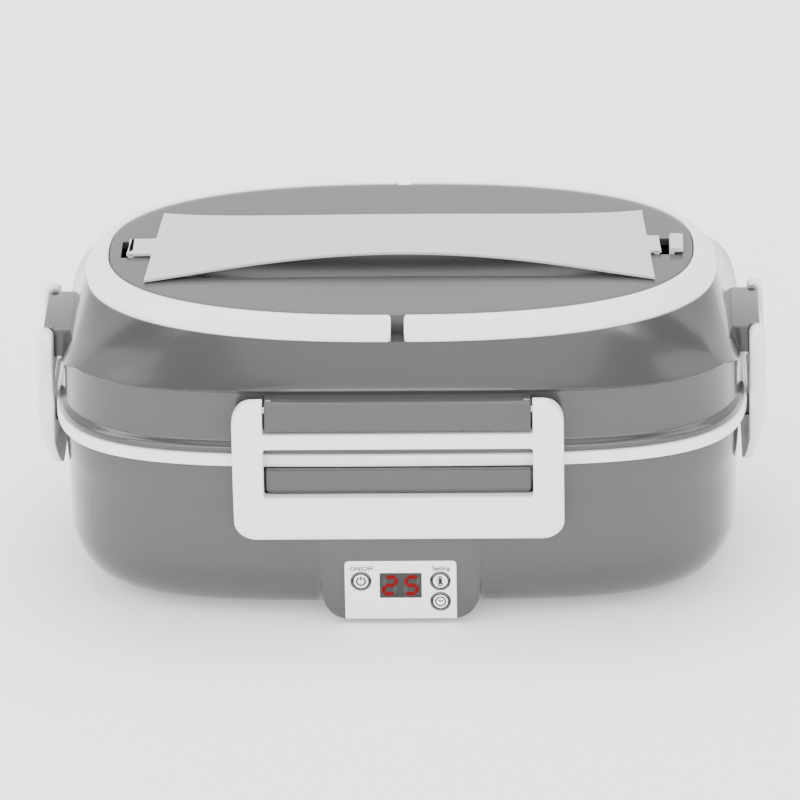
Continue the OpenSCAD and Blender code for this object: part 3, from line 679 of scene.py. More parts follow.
def finish_table():
    """For each finish, the function that makes it and what that is given after the name."""
    colours = settings("finishes")
    return {
        "body_grey": (moulded_plastic, colours.body, 0.15, 0.05, 0.00002, 0.35),
        "top_grey": (moulded_plastic, colours.top, 0.20, 0.05, 0.00002, 0.05),
        "light_grey": (moulded_plastic, colours.light, 0.30, 0.08),
        "strap_grey": (moulded_plastic, colours.strap, 0.32, 0.08),
        "panel_plastic": (moulded_plastic, colours.panel, 0.26, 0.05, 0.00001),
        "black_plastic": (moulded_plastic, (0.028, 0.028, 0.030), 0.48, 0.12, 0.00005),
        "ink": (moulded_plastic, colours.ink, 0.75, 0.08, 0.00001),
        "display": (tinted_window, colours.display),
        "segment_lit": (lit_segment, colours.digit, 0.24),
        "segment_unlit": (moulded_plastic, shade(colours.display, 2.4), 0.35, 0.06, 0.00001),
        "foot_rubber": (rubber, (0.035, 0.035, 0.036)),
        "seal_rubber": (rubber, (0.60, 0.60, 0.58), 0.00003),
        "lead_sleeve": (rubber, (0.20, 0.035, 0.025), 0.00003),
        "pan_steel": (brushed_metal, colours.steel, "x", 0.26),
        "steel": (brushed_metal, shade(colours.steel, 0.92), "x", 0.30),
        "aluminium": (brushed_metal, (0.72, 0.72, 0.73), "y", 0.34),
        "brass": (brushed_metal, (0.74, 0.60, 0.32), "y", 0.26),
        "board": (circuit_laminate,),
        "ceramic": (fired_ceramic,),
    }


def material(finish):
    """A finish's material, made when it is first asked for."""
    made = bpy.data.materials.get("finish_" + finish)
    if made is None:
        make, *values = finish_table()[finish]
        made = make("finish_" + finish, *values)
    return made


# ---- base ----

CHIN_STEPS, EDGE_STEPS, BLEND_STEPS, SIDE_POINTS = 12, 6, 6, 130
CHIN_SLANT, CHIN_FLARE, CHIN_MOST_FLARE = 0.13, 0.15, 1.2 * MM
CHIN_FACE_TOP, CHIN_FADE_TOP = 24.5 * MM, 37 * MM
CHIN_BEHIND_BUTTONS, CHIN_BEHIND_WALL = 0.3 * MM, 0.4 * MM
CHIN_SOFT_START, CHIN_SOFT_STOP, CHIN_TO_WALL = 12 * MM, 24 * MM, 0.6 * MM
SOLE_STEP = 5
WALL_LEVELS = (24.5, 27, 29, 31, 33, 35, 36.9, 37.3, 44)


def wall_at(inset, x):
    """Distance of the body's front wall from the middle, at x."""
    body = settings("body")
    half_x, half_y = body.half_width - inset, body.half_depth - inset
    return half_y * (1 - (np.abs(x) / half_x) ** body.power) ** (1 / body.power)


def chin_half_ring(inset, width, face, soft):
    """Half of a chin at one height: (across, outward) from its middle out to the wall."""
    edge, blend = (1.4 + 5 * soft) * MM, (3 + 6 * soft) * MM
    rise = max(face - wall_at(inset, width), 0.0)
    edge_rise, blend_rise = min(edge, rise / 2), min(blend, rise / 2)
    width_out = width + CHIN_SLANT * rise
    foot = wall_at(inset, width_out)
    line = [((width - edge) * i / CHIN_STEPS, face) for i in range(CHIN_STEPS)]
    for i in range(EDGE_STEPS):
        angle = math.radians(90 - 90 * i / EDGE_STEPS)
        line.append((width - edge + edge * math.cos(angle), face - edge_rise * (1 - math.sin(angle))))
    for i in range(BLEND_STEPS):
        t = (i + 1) / BLEND_STEPS
        line.append((width_out + blend * t * t, foot + blend_rise * (1 - t) ** 2))
    return [(across, max(out, wall_at(inset, across))) for across, out in line]


def drawn_in(lift, radius):
    """How far a rounded lower edge draws in at a height above the underside."""
    return radius - math.sqrt(max(radius ** 2 - (radius - min(lift, radius)) ** 2, 0.0))


def base_ring(z, inset, chins=True):
    """The base's outline at one height, with its two chins."""
    body = settings("body")
    lift = z - body.bottom
    face = 0.0
    if chins and z <= CHIN_FADE_TOP:
        flush = wall_at(body.inset, 0) - CHIN_BEHIND_WALL
        chin_face = -low("power_button", "y") - CHIN_BEHIND_BUTTONS
        fade = share_of(z, CHIN_FACE_TOP, CHIN_FADE_TOP)
        face = chin_face - drawn_in(lift, 1 * MM) + (flush - chin_face) * fade * fade * (3 - 2 * fade)
    flare = min(max(lift - body.chin_round, 0.0) * CHIN_FLARE, CHIN_MOST_FLARE)
    flare -= drawn_in(lift, body.chin_round)
    soft = share_of(lift, CHIN_SOFT_START, CHIN_SOFT_STOP)
    front = chin_half_ring(inset, body.chin_half + flare, face, soft)
    rear = chin_half_ring(inset, body.inlet_half + flare, face, soft)
    quarter = FINE_POINTS // 4
    wall = outline(body.half_width - inset, body.half_depth - inset, body.power,
                   np.linspace(-math.pi / 2, math.pi / 2, 2 * quarter + 1))
    start = np.searchsorted(wall[:quarter, 0], front[-1][0] + CHIN_TO_WALL)
    stop = 2 * quarter + 1 - np.searchsorted(wall[::-1][:quarter, 0], rear[-1][0] + CHIN_TO_WALL)
    wall = wall[start:stop]
    run = run_along(wall)
    even = np.linspace(0, run[-1], SIDE_POINTS)
    side = zip(np.interp(even, run, wall[:, 0]), np.interp(even, run, wall[:, 1]))
    right = [(x, -out) for x, out in front] + list(side) + [(x, out) for x, out in rear[::-1]]
    left = [(-x, y) for x, y in right[::-1] if x > 1e-9]
    return np.array([(x, y, z) for x, y in right + left])


def base_levels():
    """(height, inset) up the outside of the base, from its underside to the wall's top."""
    body = settings("body")
    wall_foot = body.inset + 1.1 * MM
    foot_z = body.bottom + body.sole_height
    levels = []
    for degrees in range(90, -1, -SOLE_STEP):
        angle = math.radians(degrees)
        levels.append((body.bottom + body.sole_height * (1 - math.sin(angle)),
                       wall_foot + body.sole_depth * (1 - math.cos(angle))))
    for z in np.array(WALL_LEVELS) * MM:
        levels.append((z, wall_foot + (body.inset - wall_foot) * (z - foot_z) / (body.top - foot_z)))
    return levels


def catch_bar(width):
    """The bar that a latch's lip hooks under, with rounded lower corners."""
    latch, body = settings("latch", "body")
    half = bar_half_width(width)
    face = body.half_depth + latch.face - 4 * MM
    shape = rounded_box(-half, latch_sill() + 0.3 * MM, half, body.top + 0.6 * MM, (1.8, 0.6, 0.6, 1.8))
    return front_plate([shape], face - body.half_depth + 3.2 * MM, 0.5 * MM, face)


def base_cutters():
    """The shapes of the inlet's hole and of the three holes that the buttons sink into."""
    half_x, half_z = high("power_inlet", "x") - 2 * MM, half_span("power_inlet", "z") - 2 * MM
    z = middle("power_inlet", "z")
    hole = rounded_box(-half_x, z - half_z, half_x, z + half_z, [half_z / MM * 0.999] * 4, 12)
    cutters = [front_plate([hole], 20 * MM, 0.0, -low("power_inlet", "y"))]
    for name in BUTTONS:
        hole = circle(button_centre(name), settings("controls").button + 0.4 * MM)
        cutters.append(front_plate([hole], 5 * MM, 0.0, 0.5 * MM - low("power_button", "y")))
    return cutters


def foot_pad(x, y):
    """A round foot with a rolled edge and a dished sole."""
    top = high("feet", "z") / MM
    sides = 40
    profile = filleted([(1, top, 0), (6, top, 0.2), (6, 0, 0.5), (4.6, 0, 0.3), (3.9, 0.25, 0.3),
                        (1, 0.25, 0)])
    return loft("foot", [np.column_stack([circle((x, y), radius, sides), np.full(sides, z)])
                         for radius, z in profile])


class LUNCHBOX_OT_base(bpy.types.Operator):
    """Makes the base shell with its chins and catch bars, and the feet"""
    bl_idname = "lunchbox.base"
    bl_label = "Base shell"

    def execute(self, context):
        body, latch = settings("body", "latch")
        top, bottom, inset = body.top / MM, body.bottom / MM, body.inset / MM
        back = inset + body.wall / MM
        rim = filleted([(44.2, inset + 0.35, 0), (top, inset, 0.5), (top, back, 0.5), (30, back + 0.8, 0)])
        inside = filleted([
            (30, back + 0.8, 0), (bottom + 2.5, back + 3, 14), (bottom + 2.5, inset + 28, 0)], 6)
        rings = [base_ring(z, i) for z, i in base_levels()]
        rings += [base_ring(z, i, False) for z, i in rim + inside[1:]]
        parts = [carved(loft("base_body", rings), base_cutters())]
        for width, sides in ((latch.long_width, ("front", "rear")), (latch.short_width, ("left", "right"))):
            parts += [at_side(catch_bar(width), side) for side in sides]
        add_piece("base_body", joined("base_body", parts), "base", "body_grey", "base_shell")
        foot_x, foot_y = high("feet", "x") - 6 * MM, high("feet", "y") - 6 * MM
        feet = [foot_pad(x, y) for x in (-foot_x, foot_x) for y in (-foot_y, foot_y)]
        add_piece("rubber_feet", joined("rubber_feet", feet), "base", "foot_rubber", "feet")
        return {"FINISHED"}


class LUNCHBOX_OT_tub(bpy.types.Operator):
    """Makes the inner tub with the light band that shows round the rim"""
    bl_idname = "lunchbox.tub"
    bl_label = "Inner tub and rim band"

    def execute(self, context):
        top, seat = settings("body").band_top / MM, settings("body").top / MM
        bottom, mouth = seat + 0.8, 8.9
        floor, under = 14, 12
        profile = filleted([
            (22, under, 0), (18.9, under, 0), (13.2, under + 2, 4), (11.9, under + 9, 4),
            (mouth - 2, seat, 0), (3.4, seat, 0), (3.4, bottom, 0), (0, bottom, 0.5), (0, top, 0.8),
            (mouth, top, 0.8), (13.9, floor + 8, 5), (16.5, floor, 4), (24, floor, 0)], 5)
        add_piece("inner_tub_moulding", body_loft("tub", profile), "base", "light_grey", "inner_tub")
        return {"FINISHED"}


class LUNCHBOX_OT_pan(bpy.types.Operator):
    """Makes the lift-out steel pan with its rolled rim"""
    bl_idname = "lunchbox.pan"
    bl_label = "Steel pan"

    def execute(self, context):
        under, top = heights("food_container")
        sheet = 0.6
        outside = filleted([
            (24, under, 0), (20.5, under, 1), (16.4, under + 2.6, 5), (15.6, under + 9, 4),
            (10.6, top - sheet, 1.2), (6.2, top - sheet, 0)], 6)
        roll = filleted([
            (6.02, top - sheet * 0.8, 0), (5.98, top - sheet * 0.5, 0), (6.02, top - sheet * 0.2, 0)])
        inside = filleted([
            (6.2, top, 0), (10.4, top, 1.2), (16.2, under + 9, 4), (17, under + 2.6 + sheet, 5),
            (21.2, under + sheet, 1), (24, under + sheet, 0)], 6)
        mesh = body_loft("pan", outside + roll + inside)
        add_piece("steel_pan", mesh, "container", "pan_steel", "food_container")
        return {"FINISHED"}


# ---- lid ----

SHOULDER_STEPS, SHOULDER_CURVE, SHOULDER_SQUARING = 22, 1.15, 0.8
RING_CORNER = 1.5 * MM
RING_FINE, RING_STATIONS = 8001, 180

# Where the slots for the strap's ends start and stop, left and right, in millimetres.
SLOTS = ((-92.7, -88.2), (85.0, 91.2))


def inset_of(node):
    """How far a node's side is set in from the rim band, in millimetres."""
    return (settings("body").half_width - high(node, "x")) / MM


def shoulder_ring(t, extra=0.0, drop=0.0):
    """The shoulder's outline: t runs from the crease (0) to the trim ring's edge (1)."""
    lid, body = settings("lid", "body")
    crease_inset = lid.skirt_inset - 0.4 * MM
    ring_inset = body.half_width - lid.panel_half_width - lid.ring_width
    crease_power, ring_power = body.power + 0.4, lid.panel_power + 0.06
    inset = crease_inset + (ring_inset - crease_inset) * t ** SHOULDER_CURVE + extra
    z = lid.crease + (lid.ledge - lid.crease) * t - drop
    ring = inset_ring(inset, z, crease_power + (ring_power - crease_power) * t ** SHOULDER_SQUARING)
    return dipped(ring, lid.side_dip * (1 - t))


class LUNCHBOX_OT_lid(bpy.types.Operator):
    """Makes the lid shell with its lower lip, crease and sloping shoulder"""
    bl_idname = "lunchbox.lid"
    bl_label = "Lid shell"

    def execute(self, context):
        body, lid = settings("body", "lid")
        power = body.power
        bottom, crease = low("lid_shell", "z") / MM, lid.crease / MM
        lip_top = bottom + lid.lip_height / MM
        lip, skirt, back = lid.lip_inset / MM, lid.skirt_inset / MM, (lid.skirt_inset + body.wall) / MM
        outside = filleted([
            (back - 0.4, bottom, power, 0), (lip, bottom, power, 0.6),
            (lip + 0.25, lip_top - 0.5, power, 0.8), (skirt, lip_top + 0.9, power, 0.7),
            (skirt, crease - 1.1, power, 0.8),
            (skirt - 0.4, crease - 0.25, power + 0.3, 0.3), (skirt - 0.4, crease, power + 0.4, 0)])
        well = body.half_width - lid.panel_half_width + 3.4 * MM
        deck = lid.ledge - 8.4 * MM
        rings = [inset_ring(well - body.wall, deck - 2.2 * MM, lid.panel_power)]
        rings += [shoulder_ring(t, body.wall, 1.2 * MM) for t in (0.85, 0.6, 0.4, 0.2, 0.0)]
        rings += [dipped(inset_ring(back * MM, lid.crease - 3 * MM), lid.side_dip),
                  inset_ring(back * MM, (bottom + 0.4) * MM)]
        for inset, z, bend in outside:
            ring = inset_ring(inset, z, bend)
            rings.append(dipped(ring, lid.side_dip) if z > (lip_top + 3) * MM else ring)
        rings += [shoulder_ring((i + 1) / SHOULDER_STEPS) for i in range(SHOULDER_STEPS)]
        rings += [inset_ring(well, z, lid.panel_power) for z in (lid.ledge, deck)]
        add_piece("lid_body", loft("lid", rings), "lid", "body_grey", "lid_shell", sharp=25)
        return {"FINISHED"}


class LUNCHBOX_OT_liner(bpy.types.Operator):
    """Makes the pale liner inside the lid, with stiffening steps, and its soft seal"""
    bl_idname = "lunchbox.liner"
    bl_label = "Lid liner and seal"

    def execute(self, context):
        edge, bottom, top = inset_of("lid_liner"), *heights("lid_liner")
        liner = filleted([
            (24, top, 0), (edge + 2, top, 1), (edge, top - 2, 1), (edge, bottom, 0.4),
            (edge + 6, bottom, 0.5), (edge + 6.4, top - 4, 1.6), (edge + 13, top - 3, 0.8),
            (edge + 15, top - 2, 0.8), (26, top - 2, 0)])
        add_piece("lid_liner_moulding", body_loft("liner", liner), "lid", "light_grey", "lid_liner")
        edge, bottom, top = inset_of("lid_seal"), *heights("lid_seal")
        seal = filleted([
            (edge + 2, top, 0), (edge, top, 0.3), (edge + 0.2, bottom, 0.5), (edge + 1.6, bottom, 0.4),
            (edge + 2, bottom + 0.5, 0.3), (edge + 2.4, bottom, 0.4), (edge + 3.8, bottom, 0.5),
            (edge + 4, top, 0.3), (edge + 2.1, top, 0)], 3)
        add_piece("lid_seal_ring", body_loft("seal", seal, hoop=True), "lid", "seal_rubber", "lid_seal")
        return {"FINISHED"}


def panel_ring(inset, z):
    lid, body = settings("lid", "body")
    half_y = body.half_depth - (body.half_width - lid.panel_half_width)
    return flat_ring(lid.panel_half_width - inset, half_y - inset, lid.panel_power, z)


def recess_ring(shrink, z):
    """The finger recess's outline, a little wider towards its ends."""
    strap = settings("strap")
    half_x = strap.length / 2 - 5 * MM - shrink * 1.3
    ring = flat_ring(half_x, strap.recess_half - shrink, 7.0, z)
    ring[:, 1] *= 1 + 0.12 * (ring[:, 0] / half_x) ** 2
    return ring


class LUNCHBOX_OT_top(bpy.types.Operator):
    """Makes the glossy top panel with its finger recess and the strap's slots"""
    bl_idname = "lunchbox.top_panel"
    bl_label = "Top panel"

    def execute(self, context):
        lid, strap = settings("lid", "strap")
        top, ledge, floor = lid.panel_top / MM, lid.ledge / MM, strap.recess_floor / MM
        thick = 2.4
        under = [(14, floor - 1.4), (3.6, floor - 1.4), (-1.2, top - thick)]
        edge = [(thick, top - thick), (thick, ledge)]
        rings = [recess_ring(shrink * MM, z * MM) for shrink, z in under]
        rings += [panel_ring(inset * MM, z * MM) for inset, z in edge]
        rings += [panel_ring(inset, z) for inset, z in filleted([
            (0, ledge, 0), (0, top, 0.7), (3, top, 0)], 5)]
        rings += [recess_ring(shrink, z) for shrink, z in filleted([
            (-2.5, top, 0), (0, top, 0.9), (4.6, floor, 3.5), (14, floor, 0)], 6)]
        half = strap.tongue / MM / 2 + 0.5
        slots = [block((start, -half, top - 8), (stop, half, top + 2)) for start, stop in SLOTS]
        add_piece("top_cover", carved(loft("top", rings), slots), "lid", "top_grey", "top_panel", sharp=30)
        return {"FINISHED"}


class LUNCHBOX_OT_ring(bpy.types.Operator):
    """Makes the two halves of the light trim ring, with rounded ends at the gaps"""
    bl_idname = "lunchbox.trim_ring"
    bl_label = "Trim ring"

    def execute(self, context):
        for side, name in ((-1, "left"), (1, "right")):
            add_piece(f"trim_ring_{name}_moulding", self.half_ring(side), "lid", "light_grey",
                      f"trim_ring_{name}")
        return {"FINISHED"}

    def half_ring(self, side):
        """A half of the ring: its section carried round the panel, trimmed to rounded ends."""
        lid, body = settings("lid", "body")
        half_x, power = lid.panel_half_width, lid.panel_power
        half_y = body.half_depth - body.half_width + half_x
        tall, wide = (lid.panel_top - lid.ledge) / MM, lid.ring_width / MM
        section = np.array(filleted([
            (0.3, -0.3, 0), (0.3, tall + 0.28, 0.4), (2.5, tall + 0.12, 1.2), (5.6, tall - 2.2, 2.6),
            (wide, 0.75, 1.4), (wide - 0.1, -0.3, 0)], 5))
        ends = []
        for degrees in range(0, 91, 10):
            turn = math.radians(degrees)
            x = lid.ring_gap / 2 + RING_CORNER * (1 - math.cos(turn))
            ends.append((math.acos((x / half_x) ** (power / 2)), RING_CORNER * (1 - math.sin(turn))))
        fine = np.linspace(-ends[-1][0], ends[-1][0], RING_FINE)
        run = run_along(outline(half_x, half_y, power, fine))
        inner = np.interp(np.linspace(0, run[-1], RING_STATIONS), run, fine)[1:-1]
        rings = []
        for angle, trim in [(-a, t) for a, t in ends] + [(a, 0.0) for a in inner] + ends[::-1]:
            out = np.clip(section[:, 0], 0.3 * MM + trim, lid.ring_width - trim)
            up = np.minimum(section[:, 1], (tall + 0.28) * MM - 0.5 * trim)
            x, y = outline(half_x + out, half_y + out, power, angle).T
            rings.append(np.column_stack([side * x, y, lid.ledge + up]))
        return loft("ring", rings)


# ---- strap ----

BLADE_POINTS = 41

# At the left end and the right one, where the post and the foot below it start and stop, in millimetres.
POSTS_AND_FEET = (((-90.3, -88.4), (-91, -86.6)), ((83.9, 85.6), (83.9, 90.9)))


class LUNCHBOX_OT_strap(bpy.types.Operator):
    """Makes the arched handle strap with its tongues, its feet and the hook on the right"""
    bl_idname = "lunchbox.strap"
    bl_label = "Handle strap"

    def execute(self, context):
        lid, strap = settings("lid", "strap")
        seat, foot_top = lid.panel_top / MM + 0.2, low("handle_strap", "z") / MM + 2
        tongue = strap.tongue / MM / 2
        blade = plate([self.blade_outline(strap)], strap.thickness, 0.35 * MM)
        blade = sliced(blade, "x", np.arange(-80, 81, 4) * MM)

        def arched(points):
            along = np.clip(np.abs(points[:, 0]) / (strap.length / 2), 0, 1)
            rise = strap.arch * (1 - along ** 2) ** 1.5
            longer = 1 - strap.flare * points[:, 1] / (strap.width / 2)
            return np.column_stack([points[:, 0] * longer, points[:, 1], points[:, 2] + seat * MM + rise])

        parts = [moved(blade, arched)]
        for post, foot in POSTS_AND_FEET:
            parts.append(block((post[0], -tongue, foot_top - 1.5), (post[1], tongue, seat + 1.2), 0.3))
            parts.append(block((foot[0], -tongue - 2.5, foot_top - 2),
                               (foot[1], tongue + 2.5, foot_top), 0.4))
        parts.append(self.hook(lid.panel_top / MM + 2.2, tongue, foot_top - 1.5))
        add_piece("carry_strap", joined("strap", parts), "handle", "light_grey", "handle_strap",
                  finish="strap_grey")
        return {"FINISHED"}

    def blade_outline(self, strap):
        """The strap from above: waisted in the middle, with a tongue at each end."""
        half, tongue, corner = strap.length / 2, strap.tongue / 2, 0.8 * MM

        def end(side, reach):
            line = [(half, tongue + corner), (half + corner, tongue), (reach, tongue)]
            return [(side * x, side * y) for x, y in [(x, -y) for x, y in line] + line[::-1]]

        front = [(x, -self.half_width(strap, x)) for x in np.linspace(-half, half, BLADE_POINTS)]
        rear = [(x, -y) for x, y in reversed(front)]
        return front + end(1, 85.8 * MM) + rear + end(-1, 90.3 * MM)

    def half_width(self, strap, x):
        """Half the strap's width at x, from its waist to its full width at the ends."""
        return strap.waist / 2 + (strap.width - strap.waist) / 2 * (2 * x / strap.length) ** 2

    def hook(self, top, tongue, bottom):
        """A flat strip that rises through the slot and curls over to the right."""
        start, stop = 88.9, high("handle_strap", "x") / MM
        line = np.array(filleted([
            (start, bottom, 0), (start, top, 1.1), (stop, top - 0.3, 0.5), (stop - 0.1, top - 1.5, 0.3),
            (start + 1.6, top - 1.5, 0.5), (start + 1.6, bottom, 0)]))
        centre = line.mean(axis=0)
        rings = []
        for y, size in ((-tongue, 0.99), (-tongue + 0.25, 1), (tongue - 0.25, 1), (tongue, 0.99)):
            x, z = (centre + (line - centre) * size).T
            rings.append(np.column_stack([x, np.full(len(x), y * MM), z]))
        return loft("hook", rings)


# ---- latches ----

CROSSBAR_GAP, BAR_GAP = 0.9 * MM, 0.6 * MM
CURL_REACH, CURL_POWER, TOP_REACH, TOP_LEAN = 8 * MM, 1.7, 11 * MM, 0.8 * MM


def crossbar_top():
    """Height of the top of the bar between a latch's arms."""
    return settings("latch").bar_bottom - CROSSBAR_GAP


def latch_sill():
    """Height of the sill at the foot of a latch's window."""
    latch = settings("latch")
    return crossbar_top() - latch.crossbar - latch.window


def bar_half_width(width):
    """Half the width of a bar that fits between the arms of a latch this wide."""
    return width / 2 - settings("latch").arm - BAR_GAP


def top_round(z):
    """How far a latch's face and back draw together at its rounded top."""
    latch = settings("latch")
    radius = latch.thickness / 2 - 0.25 * MM
    above = np.clip(z - (latch.top - radius), 0, radius)
    return radius - np.sqrt(radius ** 2 - above ** 2)


def latch_face(z, bottom):
    """How far the face of a latch with this lower edge lies out from the rim band at a height."""
    latch = settings("latch")
    curl = latch.curl * share_of(z, latch_sill() + CURL_REACH, bottom) ** CURL_POWER
    lean = TOP_LEAN * share_of(z, latch.top - TOP_REACH, latch.top) ** 2
    return latch.face - curl - np.maximum(lean, top_round(z))


def latch_back(z, bottom):
    """How far the back of a latch with this lower edge lies out from the rim band at a height."""
    latch, sill = settings("latch"), latch_sill()
    straight = latch.face - latch.thickness
    hollow = (2.8 + 1.4 * share_of(z, bottom + 1.4 * MM, sill)) * MM
    curled = np.minimum(latch_face(z, bottom) - hollow, straight + 0.2 * MM)
    return np.where(z > sill - 1.6 * MM, straight + top_round(z), curled)


def latch_mesh(width, bottom):
    """A latch for the front: a rounded frame with a window, curled in at its lower edge."""
    latch, body = settings("latch", "body")
    top, sill, half, gap = latch.top, latch_sill(), width / 2, width / 2 - latch.arm
    cross_top, fillet, steps = crossbar_top(), 0.7 * MM, 12
    around = rounded_box(-half, bottom, half, top, (7.5, 8.0, 8.0, 7.5), steps)
    notch = [(-gap, top), *arc(-gap + fillet, cross_top + fillet, fillet, 180, 270, 4),
             *arc(gap - fillet, cross_top + fillet, fillet, 270, 360, 4), (gap, top)]
    upper_left = 2 * (steps + 1)
    outer = around[:upper_left] + notch[::-1] + around[upper_left:]
    window = rounded_box(-gap, sill, gap, cross_top - latch.crossbar, (0.8, 0.8, 0.8, 0.8), 4)
    near_top = np.array([2.6, 2.3, 2.0, 1.7, 1.4, 1.1, 0.8, 0.55, 0.3, 0.15]) * MM
    levels = np.concatenate([np.arange(bottom + 0.5 * MM, sill + CURL_REACH, 1.2 * MM),
                             np.arange(top - TOP_REACH, top - 3 * MM, 1.5 * MM), top - near_top])

    def bent(points):
        z = points[:, 1]
        back = latch_back(z, bottom)
        out = back + (latch_face(z, bottom) - back) * points[:, 2] / latch.thickness
        return np.column_stack([points[:, 0], -body.half_depth - out, z])

    return moved(sliced(plate([outer, window], latch.thickness, 0.85 * MM), "y", levels), bent)


def hinge_bar_mesh(width):
    """The bar between a latch's arms, with a small knuckle round the pin at each end."""
    latch, body = settings("latch", "body")
    half = bar_half_width(width)
    back, face = -body.half_depth + 6 * MM, low("hinge_bar_front", "y")
    shape = rounded_box(-half, latch.bar_bottom, half, latch.bar_top, (0.4, 0.7, 0.7, 0.4), 5)

    def leaning(points):
        rise = (points[:, 2] - latch.bar_bottom) / (latch.bar_top - latch.bar_bottom)
        return points + np.outer(latch.bar_lean * rise * share_of(points[:, 1], back, face), (0, 1, 0))

    parts = [moved(front_plate([shape], back - face, 0.5 * MM, -face), leaning)]
    centre, sides = (-latch.pivot_y + 0.7 * MM, latch.bar_top - 1.6 * MM), 32
    for end in (-1, 1):
        inner, outer, chamfer = half - 2.6 * MM, half - 0.1 * MM, 0.3 * MM
        profile = ((inner, 1.9), (inner + chamfer, 2.2), (outer - chamfer, 2.2), (outer, 1.9))
        parts.append(loft("knuckle", [np.column_stack([np.full(sides, end * x),
                                                       circle(centre, radius * MM, sides)])
                                      for x, radius in profile]))
    return joined("bar", parts)


class LUNCHBOX_OT_latches(bpy.types.Operator):
    """Makes the four clip latches and the hinge bars that carry them"""
    bl_idname = "lunchbox.latches"
    bl_label = "Latches and hinge bars"

    def execute(self, context):
        latch = settings("latch")
        for side in SIDES:
            width, bottom = latch.short_width, latch.side_bottom
            if side in ("front", "rear"):
                width, bottom = latch.long_width, latch.bottom
            clip, bar = at_side(latch_mesh(width, bottom), side), at_side(hinge_bar_mesh(width), side)
            add_piece(f"clip_{side}", clip, f"latch_{side}", "light_grey", f"latch_{side}", sharp=30)
            add_piece(f"bar_{side}", bar, "lid", "body_grey", f"hinge_bar_{side}")
        return {"FINISHED"}


# ---- controls ----

SEGMENTS = {"0": "abcdef", "1": "bc", "2": "abged", "3": "abgcd", "4": "fgbc", "5": "afgcd", "6": "afgedc",
            "7": "abc", "8": "abcdefg", "9": "abcdfg"}
DIGIT_WIDTH, DIGIT_HEIGHT, BAR_THICKNESS = 3.7 * MM, 6.0 * MM, 1.35 * MM
DIGIT_STARTS = (-5.65 * MM, 1.45 * MM)
LETTER_HEIGHT, LETTER_BOLDNESS = 2.1 * MM, 0.045 * MM
LETTER_SHIFT = (0.3 * MM, 3.85 * MM)
BUTTONS = ("power_button", "temperature_button", "timer_button")

# The lines of each button's symbol, in millimetres from its centre: points, thickness, closed or not.
SYMBOLS = {
    "power_button": [(arc(0, 0, 1.4, 118, 422), 0.60, False), ([(0, 0.35), (0, 1.75)], 0.56, False)],
    "temperature_button": [
        (arc(0, -1.15, 0.62, 125, 415) + arc(0, 1.35, 0.34, 0, 180, 10), 0.48, True),
        ([(0, -1.1), (0, 0.9)], 0.75, False),
        *[([(-1.35, z), (-0.7, z)], 0.28, False) for z in (1.3, 0.7, 0.1)]],
    "timer_button": [(arc(0, 0, 1.6, 0, 360, 40), 0.52, True),
                     ([(-0.75, 0.65), (0, 0), (0.75, 0.5)], 0.5, False)],
}


def button_centre(name):
    return middle(name, "x"), middle(name, "z")


def window_outline():
    """The display window's outline, which is also the panel's opening."""
    lo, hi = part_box("display_window")
    return rounded_box(lo.x, lo.z, hi.x, hi.z, (0.3, 0.3, 0.3, 0.3), 3)


def segment_outline(letter, x, z):
    """One bar of a seven-segment digit, pointed at both ends and leaning a little."""
    wide, tall, half, mid = DIGIT_WIDTH, DIGIT_HEIGHT, BAR_THICKNESS / 2, DIGIT_HEIGHT / 2
    gap, lean = 0.09 * MM, 0.10
    ends = {"a": ((0, tall), (wide, tall)), "b": ((wide, mid), (wide, tall)), "c": ((wide, 0), (wide, mid)),
            "d": ((0, 0), (wide, 0)), "e": ((0, 0), (0, mid)), "f": ((0, mid), (0, tall)),
            "g": ((0, mid), (wide, mid))}
    (x0, z0), (x1, z1) = ends[letter]
    run = math.hypot(x1 - x0, z1 - z0)
    ux, uz = (x1 - x0) / run, (z1 - z0) / run
    points = []
    for along, out in ((gap, 0), (gap + half, -half), (run - gap - half, -half), (run - gap, 0),
                       (run - gap - half, half), (gap + half, half)):
        px, pz = x0 + ux * along - uz * out, z0 + uz * along + ux * out
        points.append((x + px + lean * pz, z + pz))
    return points


def printed_line(points, thick, closed, centre):
    """A printed line of even thickness; its points and thickness are in millimetres."""
    places = [(centre[0] + x * MM, 0, centre[1] + z * MM) for x, z in points]
    return baked(curve_of("3D", [places], closed, bevel_depth=thick * MM / 2, bevel_resolution=1,
                          use_fill_caps=True))


def lettering(words, centre):
    """A short word in plain letters, above a button."""
    text = bpy.data.curves.new("words", "FONT")
    text.body = words
    text.size = LETTER_HEIGHT
    text.align_x = "CENTER"
    text.extrude = 0.3 * MM
    text.offset = LETTER_BOLDNESS
    mesh = baked(linked("words", text))
    place = Matrix.Translation((centre[0] + LETTER_SHIFT[0], 0, centre[1] + LETTER_SHIFT[1]))
    mesh.transform(place @ Matrix.Rotation(math.radians(90), 4, "X"))
    return mesh


def printed(meshes, face):
    """Presses symbol meshes flat onto a face that looks to the front."""
    def press(points):
        return np.column_stack([points[:, 0], -face - 0.02 * MM + points[:, 1] * 0.03, points[:, 2]])
    return moved(joined("print", meshes), press)


